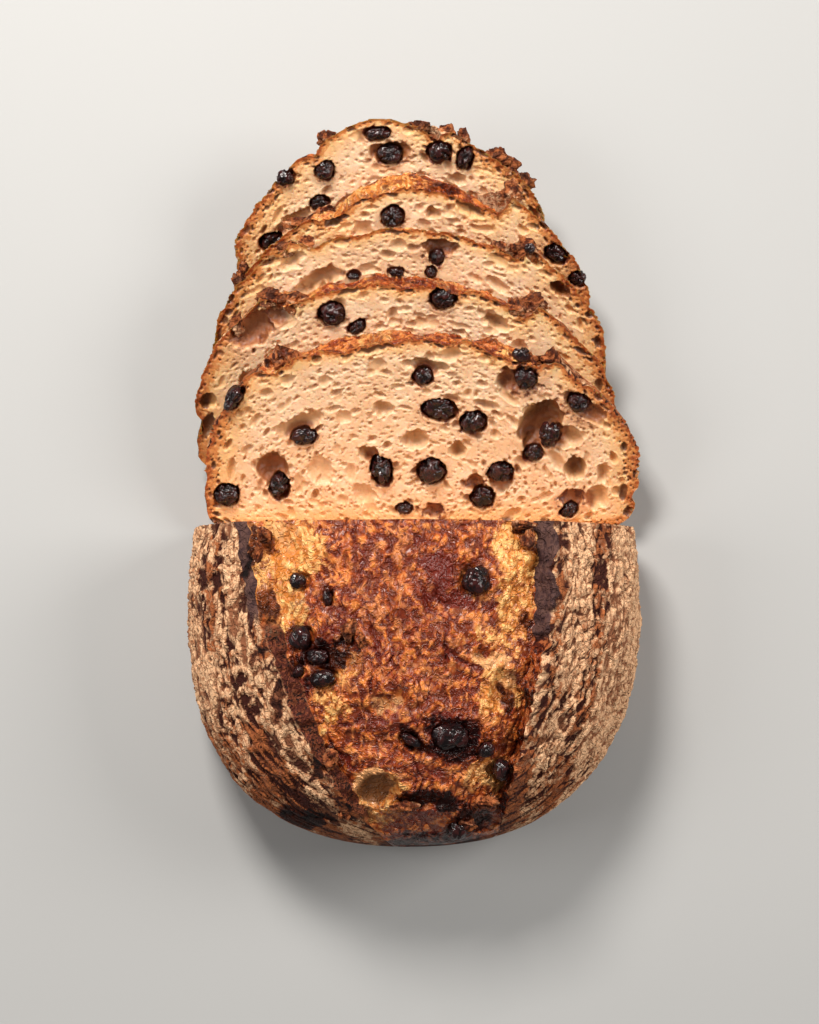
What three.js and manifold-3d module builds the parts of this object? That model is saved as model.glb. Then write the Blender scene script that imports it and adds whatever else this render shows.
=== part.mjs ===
// A raisin sourdough loaf, part sliced. One half stands whole on its base with its cut side to
// the back. Four slices and the end piece lean back behind it, each one on the next.
// Millimetres, +Z up, +Y from the whole half towards the slices. The loaf is described whole
// first, along its own length s with s = 0 at the middle cut, and is then cut up and laid out.
import * as THREE from "three";
import { mergeVertices } from "three/addons/utils/BufferGeometryUtils.js";
import Module from "manifold-3d";

const wasm = await Module();
wasm.setup();

// The whole loaf
const HALF_WIDTH = 77.2; // at the girth, the widest line
const GIRTH = 22; // height of the girth above the base
const CROWN = 52.6; // from the girth up to the top
const BASE_SINK = 4; // how far the rounded underside would go below the flat base
const WIDEST = -28; // where along the length the loaf is widest
const TIP_REACH = 78.5; // from there to the rounded tip of the whole half
const END_REACH = 88.5; // and to the tip of the end piece
const TIP_POWER = 2.4; // outlines are superellipses: seen from above towards the tip,
const END_POWER = 2.3; // and towards the end piece,
const LEFT_POWER = { atCut: 2.2, atEnd: 1.45 }; // the left of the dome seen along the loaf,
const RIGHT_POWER = { atCut: 1.95, atEnd: 1.8 }; // the right of it,
const UNDER_POWER = 5.5; // the corners under the girth,
const HEEL_POWER = 3; // and the underside seen from the side

// The two scored edges, or ears, with the burst dough, or bloom, between them
const LEFT_EAR = { atCut: -49.5, tipSwing: 34, tipLength: 92, tipPower: 1.8, endSlope: 0.66 };
const RIGHT_EAR = {
  atCut: 42.5,
  tipSwing: -14,
  tipLength: 105,
  tipPower: 2,
  endSwing: -23.5,
  endLength: 41,
  endPower: 2.6,
};
const LEAST_BLOOM = 15; // the ears never come closer than this
const EAR_WIDTH = 7;
const EAR_CURL = 0.5; // how far an ear hangs over the bloom, as a share of its height
const EAR_RAGGED = { height: 1.5, step: 5 };
const EAR_FADE = 16; // the ears die away over this length at both ends of the loaf
const GROOVE_WIDTH = 8;
const GROOVE_STEP = 1.6; // from the edge of an ear to the foot of the groove
// Heights and depths at the middle cut and at the next four
const EAR_HEIGHT = { left: [3, 4.5, 2.5, 1, 6], right: [5, 5.5, 6.5, 8.5, 7] };
const GROOVE_DEPTH = { left: [4.5, 3.5, 6, 4, 3], right: [5, 4, 3, 3.5, 5] };
const BLOOM_RISE = [0, 0, 1, -1.5, 8];

// Lumps of the crust: height and wavelength of each
const SWELL = { height: 1.5, step: 34 };
const BLOOM_LUMPS = { height: 1.7, step: 8.5 };
const BARK = { height: 1.1, step: 6, stretch: 2.6 };

// The knife's work
const PITCH = 10.25; // one slice and the gap behind it
const SLICE = 9.9; // thickness of a slice
const SLICES = 4;
const CUT_LEAN = 0.065; // the whole half's cut face overhangs by this much for each mm of height
const LEAN_LENGTH = 60; // and the lean dies away over this length

// The lay-out
const TILT = THREE.MathUtils.degToRad(31); // of the slices' faces above the table
const CUT_Y = -7; // foot of the whole half's cut face
const FIRST_SLICE_Y = -5.5; // lower edge of the first slice's face
const HALF_X = 0.5;
const SLICE_X = [3.2, -2.2, -0.6, 0];
const SLICE_TURN = [0.2, 0.3, -0.3, 0.3]; // degrees, in the plane of the face
const END_X = -5;
const END_TURN = 5;
const MIDDLE = [1.47, 8.72]; // middle of the whole in plan, which becomes the origin

// How finely the loaf is drawn
const COLUMNS = { shoulder: 12, bloom: 20, under: 14 };
const HALF_ROWS = { straight: 5, tip: 16 };
const SLICE_ROWS = 3;
const END_ROWS = 9;
const RAISIN_SIDES = [7, 5];
const HOLE_SIDES = [8, 6];

// Raisins: x across, h up the face, length, height, turn in degrees, share that stands proud
const FACE_RAISINS = [
  [
    [-39, 36, 9.8, 6.9, 8, 0.35],
    [1.5, 58.5, 7, 6.8, 0, 0.2],
    [7, 46, 13.5, 9, -10, 0.2],
    [18.5, 41, 10.1, 9.4, 20, 0.3],
    [36, 58, 8.7, 9, 0, 0.35],
    [54, 48.5, 8.8, 7.2, -30, 0.3],
    [44.5, 36.5, 8.5, 10.2, -20, 0.4],
    [39, 29, 7.5, 6.6, 30, 0.3],
    [-12.5, 22, 8.2, 12.5, 5, 0.3],
    [4.5, 22, 10.6, 11.4, 0, 0.35],
    [28, 21.5, 9.6, 9.2, -25, 0.3],
    [22, 11.5, 9.3, 8.9, 15, 0.35],
    [-66, 13, 9.3, 9.2, 10, 0.4],
    [-47.5, 16, 6.9, 10.3, -10, 0.25],
    [52, 6.5, 6.9, 5.2, 35, 0.2],
    [-5, 7.5, 6.2, 4.1, 0, 0.3],
    [-62, 51, 6.1, 11.5, -32, 0.4],
    [34.5, 66, 7.4, 6.2, 0, 0.05],
  ],
  [
    [-23.5, 60, 10, 9.3, 5, 0.35],
    [14, 65.5, 9.7, 8.6, 0, 0.35],
    [-15, 55, 6.7, 4.7, 38, 0.2],
  ],
  [
    [9.5, 59, 5.4, 6.1, 0, 0.25],
    [7.5, 53.5, 4, 4.3, 0, 0.45],
    [-4, 53.5, 5.7, 3.2, 0, 0.45],
    [-18.5, 52, 4.7, 2.9, 10, 0.4],
    [40.5, 62.5, 4.3, 4.3, 0, 0.5],
  ],
  [
    [-5.5, 53.5, 8.1, 8.7, 0, 0.5],
    [50, 38.5, 9.1, 7.3, -35, 0.1],
    [57.5, 29.5, 6.8, 6.2, -30, 0.1],
  ],
];
const END_RAISINS = [
  [-0.5, 59, 9.4, 5.4, 0, 0.3],
  [3, 51, 9.4, 7.9, 8, 0.3],
  [19.5, 50.5, 9.1, 8.3, -12, 0.4],
  [28, 47.5, 5.4, 9.4, -24, 0.35],
  [-19.5, 47, 6.4, 8, -25, 0.45],
  [-33, 46, 7.1, 6.2, 0, 0.5],
  [-22.5, 35.5, 7.1, 5.8, 20, 0.3],
  [-40.5, 22, 9.9, 8.1, 20, 0.05],
];
// Raisins in the whole half's crust: x, s, length, width, turn, share that stands proud
const CRUST_RAISINS = [
  [20.5, -18, 10.9, 10.9, 0, 0.55],
  [-36.5, -18.5, 6.5, 5.8, 0, 0.5],
  [-27, -23.5, 3.6, 7.1, 25, 0.3],
  [-35.5, -35.5, 8.7, 9.7, 0, 0.5],
  [-30, -41, 8.4, 5.8, 15, 0.45],
  [-36.5, -45.5, 3.9, 5.8, -15, 0.4],
  [-28, -47.5, 9.7, 6.6, 28, 0.5],
  [0, -67, 9, 3.8, -35, 0.2],
  [13.5, -66, 14.8, 11, 0, 0.3],
  [24.5, -70, 6.5, 5.8, 0, 0.5],
  [29.5, -77, 6.2, 9.1, -12, 0.5],
  [15.5, -98, 7.3, 9.9, 0, 0.5],
];

// Holes in the crumb: x, h, length, height, turn in degrees, depth
const FACE_HOLES = [
  [
    [41, 40.5, 14.2, 19.7, -25, 7],
    [53.5, 23, 8.2, 9.6, 0, 6],
    [2.5, 63, 17.4, 5.5, -6, 3.2],
    [-50, 23.5, 11.6, 13.6, 10, 5],
    [-1.5, 34.5, 10.2, 7.9, -5, 3.5],
    [-16.5, 29, 6.8, 7.2, 0, 4],
    [-11.5, 46.5, 8.8, 5.5, 10, 2.5],
    [-33.5, 23, 8.9, 12, 20, 1.8],
    [-40.5, 40.5, 18.9, 7.1, 28, 2.6],
    [51, 35.5, 9.5, 8.7, 0, 3],
    [63.5, 21.5, 4.8, 8, 0, 2.5],
    [13.5, 30.5, 6.1, 6.4, 0, 4],
    [61.5, 12, 8.3, 10.4, 0, 2.5],
    [-19, 13, 6.9, 10.4, 40, 1.6],
  ],
  [
    [-50.5, 54.5, 17.4, 11.7, 35, 4.5],
    [-41, 61, 11.4, 10.1, 20, 4],
    [32, 56.5, 10.1, 5.5, -28, 4],
    [-66.5, 27, 4.8, 6.4, 0, 3.5],
    [-3, 60, 4.7, 3.9, 0, 2],
    [19, 52.5, 6, 2.7, -10, 2.5],
  ],
  [
    [-30.5, 50, 17.5, 7.1, 28, 4],
    [10.5, 62.5, 12.7, 5.5, -4, 4],
    [-39.5, 57, 9.4, 6.2, 35, 2.5],
    [-7, 60, 4.7, 3.1, 0, 2],
    [51, 47.5, 8.1, 4.7, -40, 6],
    [56, 24, 5.5, 4.4, -20, 3],
  ],
  [
    [8, 54.5, 5, 4.3, -8, 3],
    [20.5, 55.5, 11.4, 3.5, -30, 2.4],
    [-25.5, 51.5, 7.4, 3.9, 18, 2.6],
  ],
];
const END_HOLES = [
  [24.5, 40, 7.4, 3.9, -15, 2.5],
  [-32, 29.5, 15, 5.6, 32, 3.5],
  [3, 52, 14.8, 7.8, 0, 2.8],
];
// Torn pits in the bloom of the whole half: x, s, length, width, turn, depth
const CRUST_PITS = [
  [-11, -83.5, 15, 11.1, 15, 6],
  [-7.5, -55.5, 14.8, 7.1, 25, 2.6],
  [23.5, -40.5, 7.7, 4.5, -10, 3],
  [29, -51, 6.5, 12.9, 0, 2],
  [4, -87.5, 19.6, 5.2, 0, 3],
  [24.5, -95.5, 11.2, 8.6, 20, 5],
];

// Value noise from -1 to 1 on a unit lattice
function lattice(ix, iy, iz, seed) {
  let h = Math.imul(ix, 374761393) + Math.imul(iy, 668265263);
  h += Math.imul(iz, 1274126177) + Math.imul(seed, 974634521);
  h = Math.imul(h ^ (h >>> 13), 1103515245);
  h ^= h >>> 16;
  return ((h >>> 0) / 4294967295) * 2 - 1;
}

function noise(x, y, z, seed) {
  const [ix, iy, iz] = [Math.floor(x), Math.floor(y), Math.floor(z)];
  const ease = (t) => t * t * (3 - 2 * t);
  const [u, v, w] = [ease(x - ix), ease(y - iy), ease(z - iz)];
  const mix = THREE.MathUtils.lerp;
  const along = (dy, dz) =>
    mix(lattice(ix, iy + dy, iz + dz, seed), lattice(ix + 1, iy + dy, iz + dz, seed), u);
  return mix(mix(along(0, 0), along(1, 0), v), mix(along(0, 1), along(1, 1), v), w);
}

// Share of the full width and height that the loaf has at s
function reachShare(s) {
  return Math.min(1, Math.abs(s - WIDEST) / (s < WIDEST ? TIP_REACH : END_REACH));
}
function planShare(s) {
  const power = s < WIDEST ? TIP_POWER : END_POWER;
  return (1 - reachShare(s) ** power) ** (1 / power);
}
const underShare = (s) => (1 - reachShare(s) ** HEEL_POWER) ** (1 / HEEL_POWER);

function leftEarX(s) {
  if (s >= 0) return LEFT_EAR.atCut + LEFT_EAR.endSlope * s;
  return LEFT_EAR.atCut + LEFT_EAR.tipSwing * (-s / LEFT_EAR.tipLength) ** LEFT_EAR.tipPower;
}

function rightEarX(s) {
  const e = RIGHT_EAR;
  const x =
    s >= 0
      ? e.atCut + e.endSwing * (s / e.endLength) ** e.endPower
      : e.atCut + e.tipSwing * (-s / e.tipLength) ** e.tipPower;
  return Math.max(x, leftEarX(s) + LEAST_BLOOM);
}

// The dome's power at s on the left (side below 0) or the right
function domePower(side, s) {
  const power = side < 0 ? LEFT_POWER : RIGHT_POWER;
  return THREE.MathUtils.lerp(power.atCut, power.atEnd, THREE.MathUtils.smoothstep(s, 18, 31));
}

// Angle round the dome, from pi at the left girth to 0 at the right one, at which x is reached
function domeAngle(x, s) {
  const share = Math.abs(x) / Math.max(HALF_WIDTH * planShare(s), 1e-6);
  const angle = Math.acos(Math.min(share, 0.96) ** (domePower(x, s) / 2));
  return x < 0 ? Math.PI - angle : angle;
}

function domePoint(angle, s) {
  const [c, d] = [Math.cos(angle), Math.max(Math.sin(angle), 0)];
  const [k, power] = [planShare(s), domePower(c, s)];
  const x = HALF_WIDTH * k * Math.sign(c) * Math.abs(c) ** (2 / power);
  return new THREE.Vector3(x, s, GIRTH + CROWN * k * d ** (2 / power));
}

// Outward direction of the dome, from the slopes of its superellipses
function domeNormal(p, s) {
  const step = 0.5;
  const slope = (planShare(s + step) - planShare(s - step)) / (2 * step);
  const [x, z, power] = [p.x / HALF_WIDTH, (p.z - GIRTH) / CROWN, domePower(p.x, s)];
  const size = Math.max((Math.abs(x) ** power + z ** power) ** (1 / power), 1e-6);
  const lift = (t) => (Math.abs(t) / size) ** (power - 1) * Math.sign(t);
  return new THREE.Vector3(lift(x) / HALF_WIDTH, -slope, lift(z) / CROWN).normalize();
}

// The underside of the middle section from the right girth round to the left, evenly spaced
const UNDERSIDE = (() => {
  const steps = 400;
  const corner = (t) => Math.abs(t) ** (2 / UNDER_POWER);
  const outline = [...Array(steps + 1).keys()].map((i) => {
    const a = (i / steps) * Math.PI;
    return new THREE.Vector2(Math.sign(Math.cos(a)) * corner(Math.cos(a)), corner(Math.sin(a)));
  });
  const real = (p) => new THREE.Vector2(p.x * HALF_WIDTH, p.y * (GIRTH + BASE_SINK));
  const lengths = [0];
  for (let i = 1; i <= steps; i++)
    lengths.push(lengths[i - 1] + real(outline[i]).distanceTo(real(outline[i - 1])));
  return (share) => {
    const goal = share * lengths[steps];
    const i = Math.min(Math.max(lengths.findIndex((l) => l >= goal), 1), steps);
    const t = (goal - lengths[i - 1]) / (lengths[i] - lengths[i - 1]);
    return outline[i - 1].clone().lerp(outline[i], t);
  };
})();

function underPoint(share, s) {
  const p = UNDERSIDE(share);
  const z = GIRTH - (GIRTH + BASE_SINK) * underShare(s) * p.y;
  return new THREE.Vector3(HALF_WIDTH * planShare(s) * p.x, s, Math.max(z, 0));
}

// How strong the ears are at s, from 0 to 1
function earShare(s) {
  const left = Math.min(s - (WIDEST - TIP_REACH), WIDEST + END_REACH - s);
  return THREE.MathUtils.smoothstep(left, 4, 4 + EAR_FADE);
}

// A value at s from the list of its values at the cuts
function atCuts(values, s) {
  const place = THREE.MathUtils.clamp(s / PITCH, 0, values.length - 1);
  const i = Math.min(Math.floor(place), values.length - 2);
  return THREE.MathUtils.lerp(values[i], values[i + 1], place - i);
}

function earHeight(side, s) {
  const list = side < 0 ? EAR_HEIGHT.left : EAR_HEIGHT.right;
  const ragged = EAR_RAGGED.height * noise(s / EAR_RAGGED.step, side < 0 ? 7.5 : 1.5, 0, 2);
  return (atCuts(list, s) + ragged) * earShare(s);
}

// A point of the shoulder, outside an ear whose edge is this far away
function shoulderPoint(base, s, side, toEdge) {
  const { x, z } = base;
  const bark = BARK.height * noise(x / BARK.step, s / (BARK.step * BARK.stretch), z / BARK.step, 3);
  const low = THREE.MathUtils.smoothstep(z, 2, 12);
  const ear = earHeight(side, s) * Math.exp(-toEdge / EAR_WIDTH);
  const curl = EAR_CURL * earHeight(side, s) * Math.exp(-toEdge / (EAR_WIDTH / 3));
  const point = base.clone().addScaledVector(domeNormal(base, s), (swell(base, s) + bark) * low + ear);
  return point.set(point.x - side * curl, s, point.z);
}

// A point of the bloom, with its distances from the left and the right ear
function bloomPoint(base, s, toEdges) {
  const [left, right] = toEdges.map((d) => Math.exp(-d / GROOVE_WIDTH));
  const groove = atCuts(GROOVE_DEPTH.left, s) * left + atCuts(GROOVE_DEPTH.right, s) * right;
  const rise = atCuts(BLOOM_RISE, s) * (1 - Math.max(left, right));
  const { height, step } = BLOOM_LUMPS;
  const lumps = height * noise(base.x / step, s / step, base.z / step, 4);
  const relief = swell(base, s) + rise + lumps - groove * earShare(s);
  return base.clone().addScaledVector(domeNormal(base, s), relief).setY(s);
}

function swell(p, s) {
  return SWELL.height * noise(p.x / SWELL.step, s / SWELL.step, p.z / SWELL.step, 1);
}

// One outline of the loaf at s, from the left girth over the dome and back underneath
function ring(s) {
  const edges = [leftEarX(s), rightEarX(s)];
  const crests = edges.map((x) => domePoint(domeAngle(x, s), s));
  const shoulder = (side, i) => {
    const crest = side < 0 ? 0 : 1;
    const girth = side < 0 ? Math.PI : 0;
    const angle = THREE.MathUtils.lerp(girth, domeAngle(edges[crest], s), i / COLUMNS.shoulder);
    const base = domePoint(angle, s);
    return shoulderPoint(base, s, side, base.distanceTo(crests[crest]));
  };
  const feet = [domeAngle(edges[0] + GROOVE_STEP, s), domeAngle(edges[1] - GROOVE_STEP, s)];
  const bloom = (i) => {
    const base = domePoint(THREE.MathUtils.lerp(...feet, i / COLUMNS.bloom), s);
    return bloomPoint(base, s, crests.map((c) => base.distanceTo(c)));
  };
  const points = [];
  for (let i = 0; i <= COLUMNS.shoulder; i++) points.push(shoulder(-1, i));
  for (let i = 0; i <= COLUMNS.bloom; i++) points.push(bloom(i));
  for (let i = COLUMNS.shoulder; i >= 0; i--) points.push(shoulder(1, i));
  for (let i = 1; i < COLUMNS.under; i++) points.push(underPoint(i / COLUMNS.under, s));
  return points;
}

// A closed mesh through a row of outlines. The last one may be a single point.
function loft(rings) {
  const count = rings[0].length;
  const positions = rings.flat().flatMap((p) => [p.x, p.y, p.z]);
  const pointed = rings.at(-1).length === 1;
  const backwards = rings.at(-1)[0].y < rings[0][0].y;
  const faces = [];
  const face = (i, j, k) => faces.push(...(backwards ? [i, k, j] : [i, j, k]));
  rings.slice(0, -1).forEach((_, row) => {
    for (let i = 0; i < count; i++) {
      const [a, b] = [row * count + i, row * count + ((i + 1) % count)];
      if (pointed && row === rings.length - 2) {
        face(a, b, (row + 1) * count);
      } else {
        face(a, b, a + count);
        face(b, b + count, a + count);
      }
    }
  });
  const cap = (row, isLast) => {
    const flat = rings[row].map((p) => new THREE.Vector2(p.x, p.z));
    for (const corners of THREE.ShapeUtils.triangulateShape(flat, [])) {
      const [i, j, k] = corners.map((n) => row * count + n);
      if (isLast) face(i, k, j);
      else face(i, j, k);
    }
  };
  cap(0, false);
  if (!pointed) cap(rings.length - 1, true);
  return new THREE.BufferGeometry()
    .setAttribute("position", new THREE.Float32BufferAttribute(positions, 3))
    .setIndex(faces);
}

function toSolid(geometry) {
  const bare = geometry.clone().deleteAttribute("normal").deleteAttribute("uv");
  const merged = mergeVertices(bare, 1e-4);
  const triVerts = new Uint32Array(merged.index.array);
  const vertProperties = new Float32Array(merged.attributes.position.array);
  return new wasm.Manifold(new wasm.Mesh({ numProp: 3, vertProperties, triVerts }));
}

function toGeometry(solid) {
  const mesh = solid.getMesh();
  return new THREE.BufferGeometry()
    .setAttribute("position", new THREE.BufferAttribute(mesh.vertProperties, 3))
    .setIndex(new THREE.BufferAttribute(mesh.triVerts, 1));
}

// A ball squashed to a length, depth and height, turned in its face and put in place
function ball(sides, size, turn, place, dent = () => 1) {
  const geometry = new THREE.SphereGeometry(0.5, ...sides);
  const points = geometry.attributes.position;
  for (let i = 0; i < points.count; i++) {
    const p = new THREE.Vector3().fromBufferAttribute(points, i);
    p.multiplyScalar(dent(p));
    points.setXYZ(i, p.x, p.y, p.z);
  }
  const turned = new THREE.Quaternion().setFromAxisAngle(new THREE.Vector3(0, 1, 0), turn);
  const facing = place.facing.clone().multiply(turned);
  return geometry.applyMatrix4(new THREE.Matrix4().compose(place.at, facing, new THREE.Vector3(...size)));
}

const POCKET_GAP = 0.7; // air round a raisin, on each side
const DEPTH_SHARE = 0.8; // a raisin's depth as a share of its height
const WRINKLE = 0.16; // how far its skin sinks in, as a share of its radius

function raisinMesh(name, size, turn, place, seed) {
  const dent = (p) => 1 - WRINKLE * (0.5 + 0.5 * noise(p.x * 4.5, p.y * 4.5, p.z * 4.5, seed));
  const mesh = new THREE.Mesh(ball(RAISIN_SIDES, size, turn, place, dent), RAISIN);
  mesh.name = name;
  return mesh;
}

// Cuts raisin pockets and holes out of a body. Each item is {size, turn, place}.
function cutPockets(body, raisins, holes) {
  let solid = toSolid(body);
  for (const r of raisins) {
    const size = r.size.map((n) => n + 2 * POCKET_GAP);
    solid = solid.subtract(toSolid(ball(RAISIN_SIDES, size, r.turn, r.place)));
  }
  for (const h of holes) solid = solid.subtract(toSolid(ball(HOLE_SIDES, h.size, h.turn, h.place)));
  const largest = solid.decompose().sort((a, b) => b.volume() - a.volume())[0];
  return toGeometry(largest);
}

const radians = THREE.MathUtils.degToRad;
const UPRIGHT = new THREE.Quaternion();

// A raisin or hole at (x, h) on the face cut at s, sunk into the crumb beyond it
function onFace(s, [x, h, length, height, turn, last], isRaisin) {
  const depth = isRaisin ? height * DEPTH_SHARE : last * 2;
  const sunk = isRaisin ? depth * (0.5 - last) : 0;
  return {
    size: [length, depth, height],
    turn: -radians(turn),
    place: { at: new THREE.Vector3(x, s + sunk, h), facing: UPRIGHT },
  };
}

// How far the whole half leans over at a point of it
function cutLean(p) {
  return CUT_LEAN * p.z * Math.max(0, 1 + p.y / LEAN_LENGTH);
}

// A raisin or pit in the crust of the whole half, at (x, s) seen from above
function onCrust([x, s, length, width, turn, last], isRaisin) {
  const surface = domePoint(domeAngle(x, s), s);
  const normal = domeNormal(surface, s);
  surface.y += cutLean(surface);
  const depth = isRaisin ? width * DEPTH_SHARE : last * 2;
  const sunk = isRaisin ? depth * (0.5 - last) : 0;
  const facing = new THREE.Quaternion().setFromUnitVectors(new THREE.Vector3(0, -1, 0), normal);
  return {
    size: [length, depth, width],
    turn: -radians(turn),
    place: { at: surface.addScaledVector(normal, -sunk), facing },
  };
}

const material = (color, roughness) => new THREE.MeshStandardMaterial({ color, roughness, metalness: 0 });
const CRUST = material(0x9a5a2c, 0.6);
const CRUMB = material(0xe0bb8c, 0.8);
const RAISIN = material(0x1a1012, 0.35);

const pad = (n) => String(n + 1).padStart(2, "0");

// A piece of bread and its raisins, in the loaf's own frame
function piece(name, look, rings, raisins, holes) {
  const group = new THREE.Group();
  const body = new THREE.Mesh(cutPockets(loft(rings), raisins, holes), look);
  body.name = name;
  group.add(body);
  const owner = name.replace(/_.*?(\d*)$/, "$1");
  raisins.forEach((r, i) => {
    group.add(raisinMesh(`raisin_${owner}_${pad(i)}`, r.size, r.turn, r.place, 20 + i));
  });
  return group;
}

function wholeHalf() {
  const rows = [];
  for (let j = 0; j < HALF_ROWS.straight; j++) rows.push((WIDEST * j) / HALF_ROWS.straight);
  for (let j = 0; j < HALF_ROWS.tip; j++)
    rows.push(WIDEST - TIP_REACH * Math.sin(((j / HALF_ROWS.tip) * Math.PI) / 2));
  const rings = rows.map(ring);
  rings.push([new THREE.Vector3(0, WIDEST - TIP_REACH, GIRTH)]);
  for (const p of rings.flat()) p.y += cutLean(p);
  const raisins = CRUST_RAISINS.map((r) => onCrust(r, true));
  const pits = CRUST_PITS.map((r) => onCrust(r, false));
  const group = piece("half_loaf", CRUST, rings, raisins, pits);
  group.position.set(HALF_X, CUT_Y, 0);
  return group;
}

function slice(index) {
  const front = index * PITCH;
  const rings = [...Array(SLICE_ROWS + 1).keys()].map((j) => ring(front + (SLICE * j) / SLICE_ROWS));
  const raisins = FACE_RAISINS[index].map((r) => onFace(front, r, true));
  const holes = FACE_HOLES[index].map((r) => onFace(front, r, false));
  return piece(`slice_${index + 1}`, CRUMB, rings, raisins, holes);
}

function endPiece() {
  const front = SLICES * PITCH;
  const first = Math.asin((front - WIDEST) / END_REACH);
  const rings = [...Array(END_ROWS).keys()].map((j) => {
    const angle = first + (Math.PI / 2 - first) * (j / END_ROWS);
    return ring(WIDEST + END_REACH * Math.sin(angle));
  });
  rings.push([new THREE.Vector3(0, WIDEST + END_REACH, GIRTH)]);
  const raisins = END_RAISINS.map((r) => onFace(front, r, true));
  const holes = END_HOLES.map((r) => onFace(front, r, false));
  return piece("end_piece", CRUMB, rings, raisins, holes);
}

// Leans a piece back on the stack. Its face lies in its own plane of the stack, and the piece is
// slid along that plane until its lowest point stands on the table.
function lean(group, index, x, turn) {
  const front = index * PITCH;
  const inner = new THREE.Group();
  inner.add(...group.children);
  inner.position.y = -front;
  const turned = new THREE.Group();
  turned.add(inner);
  turned.rotation.y = -radians(turn);
  const outer = new THREE.Group();
  outer.add(turned);
  outer.rotation.x = -(Math.PI / 2 - TILT);
  const faceY = FIRST_SLICE_Y + (index * PITCH) / Math.sin(TILT);
  outer.position.set(x, faceY, SLICE * Math.cos(TILT));
  outer.updateMatrixWorld(true);
  const lowest = new THREE.Box3().setFromObject(inner.children[0], true).min.z;
  const slide = -lowest / Math.sin(TILT);
  outer.position.y += slide * Math.cos(TILT);
  outer.position.z += slide * Math.sin(TILT);
  return outer;
}

const loaf = new THREE.Group();
loaf.add(wholeHalf());
for (let i = 0; i < SLICES; i++) loaf.add(lean(slice(i), i, SLICE_X[i], SLICE_TURN[i]));
loaf.add(lean(endPiece(), SLICES, END_X, END_TURN));
loaf.position.set(-MIDDLE[0], -MIDDLE[1], 0);

export default loaf;
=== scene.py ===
# A raisin sourdough loaf, part sliced: one half stands whole, four slices and the end piece lean
# back behind it. The loaf is described in millimetres along its own length s, with s = 0 at the
# middle cut, x across and h up, and each piece is then laid out where the frame has it.
import math

import bpy
import numpy as np
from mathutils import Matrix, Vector
from mathutils.geometry import delaunay_2d_cdt


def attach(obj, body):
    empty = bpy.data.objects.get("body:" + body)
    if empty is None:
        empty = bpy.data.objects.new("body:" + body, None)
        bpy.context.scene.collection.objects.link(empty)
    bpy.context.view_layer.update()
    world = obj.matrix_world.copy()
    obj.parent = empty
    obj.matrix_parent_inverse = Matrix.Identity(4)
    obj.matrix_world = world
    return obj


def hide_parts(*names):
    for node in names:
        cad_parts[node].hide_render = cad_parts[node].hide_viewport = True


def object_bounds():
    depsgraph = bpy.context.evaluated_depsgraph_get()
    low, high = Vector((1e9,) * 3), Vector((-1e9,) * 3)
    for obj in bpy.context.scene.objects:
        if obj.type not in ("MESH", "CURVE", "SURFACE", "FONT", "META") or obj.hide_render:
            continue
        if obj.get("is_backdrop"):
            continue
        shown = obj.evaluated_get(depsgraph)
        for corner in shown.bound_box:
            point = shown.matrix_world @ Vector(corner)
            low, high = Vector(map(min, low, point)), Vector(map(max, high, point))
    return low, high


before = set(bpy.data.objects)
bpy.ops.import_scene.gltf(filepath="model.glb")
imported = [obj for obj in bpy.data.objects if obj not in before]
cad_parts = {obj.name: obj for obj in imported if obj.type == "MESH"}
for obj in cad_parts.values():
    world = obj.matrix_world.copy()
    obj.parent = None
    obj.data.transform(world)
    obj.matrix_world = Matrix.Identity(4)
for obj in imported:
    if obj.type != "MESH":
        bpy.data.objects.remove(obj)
cad_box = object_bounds()

# The whole loaf
HALF_WIDTH = 77.2  # at the girth, the widest line
GIRTH = 22  # height of the girth above the base
CROWN = 52.6  # from the girth up to the top
BASE_SINK = 4  # how far the rounded underside would go below the flat base
WIDEST = -28  # where along the length the loaf is widest
TIP_REACH = 78.5  # from there to the tip of the whole half
END_REACH = 88.5  # and to the tip of the end piece
TIP_POWER = 2.4  # outlines are superellipses: seen from above towards the tip,
END_POWER = 2.3  # and towards the end piece,
LEFT_POWER = (2.2, 1.45)  # the left of the dome seen along the loaf, at the cut and at the end,
RIGHT_POWER = (1.95, 1.8)  # the right of it,
UNDER_POWER = 5.5  # the corners under the girth,
HEEL_POWER = 3  # and the underside seen from the side

# The two scored edges, or ears, and the burst dough, or bloom, between them. From its place at
# the cut an ear swings towards the tip of the half and towards the end piece.
LEFT_EAR = {"at_cut": -49.5, "tip_swing": 34, "tip_length": 92, "tip_power": 1.8, "end_slope": 0.66}
RIGHT_EAR = {
    "at_cut": 42.5,
    "tip_swing": -14,
    "tip_length": 105,
    "tip_power": 2,
    "end_swing": -23.5,
    "end_length": 41,
    "end_power": 2.6,
}
LEAST_BLOOM = 15  # the ears never come closer than this
EAR_WIDTH = 7
EAR_CURL = 0.5  # how far an ear hangs over the bloom, as a share of its height
EAR_RAGGED = {"height": 1.5, "step": 5}
EAR_FADE = 16  # the ears die away over this length at both ends of the loaf
GROOVE_WIDTH = 8
GROOVE_STEP = 1.6  # from the edge of an ear to the foot of the groove
EAR_LAID_OUT = 4  # how far each ear's crest leans out of the groove, over a sloping inner face
RIGHT_EAR_LEANS = (-75, -25)  # the right one leans out fully from the second of these places on
# Heights and depths at the middle cut and at the next four, on the left, -1, and the right, 1
EAR_HEIGHT = {-1: (3, 4.5, 2.5, 1, 6), 1: (5, 5.5, 6.5, 8.5, 7)}
GROOVE_DEPTH = {-1: (4.5, 3.5, 6, 4, 3), 1: (5, 4, 3, 3.5, 5)}
BLOOM_RISE = (0, 0, 1, -1.5, 8)
DOME_CHANGE = (18, 31)  # between these places the dome turns from its shape at the cut to its last

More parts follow.
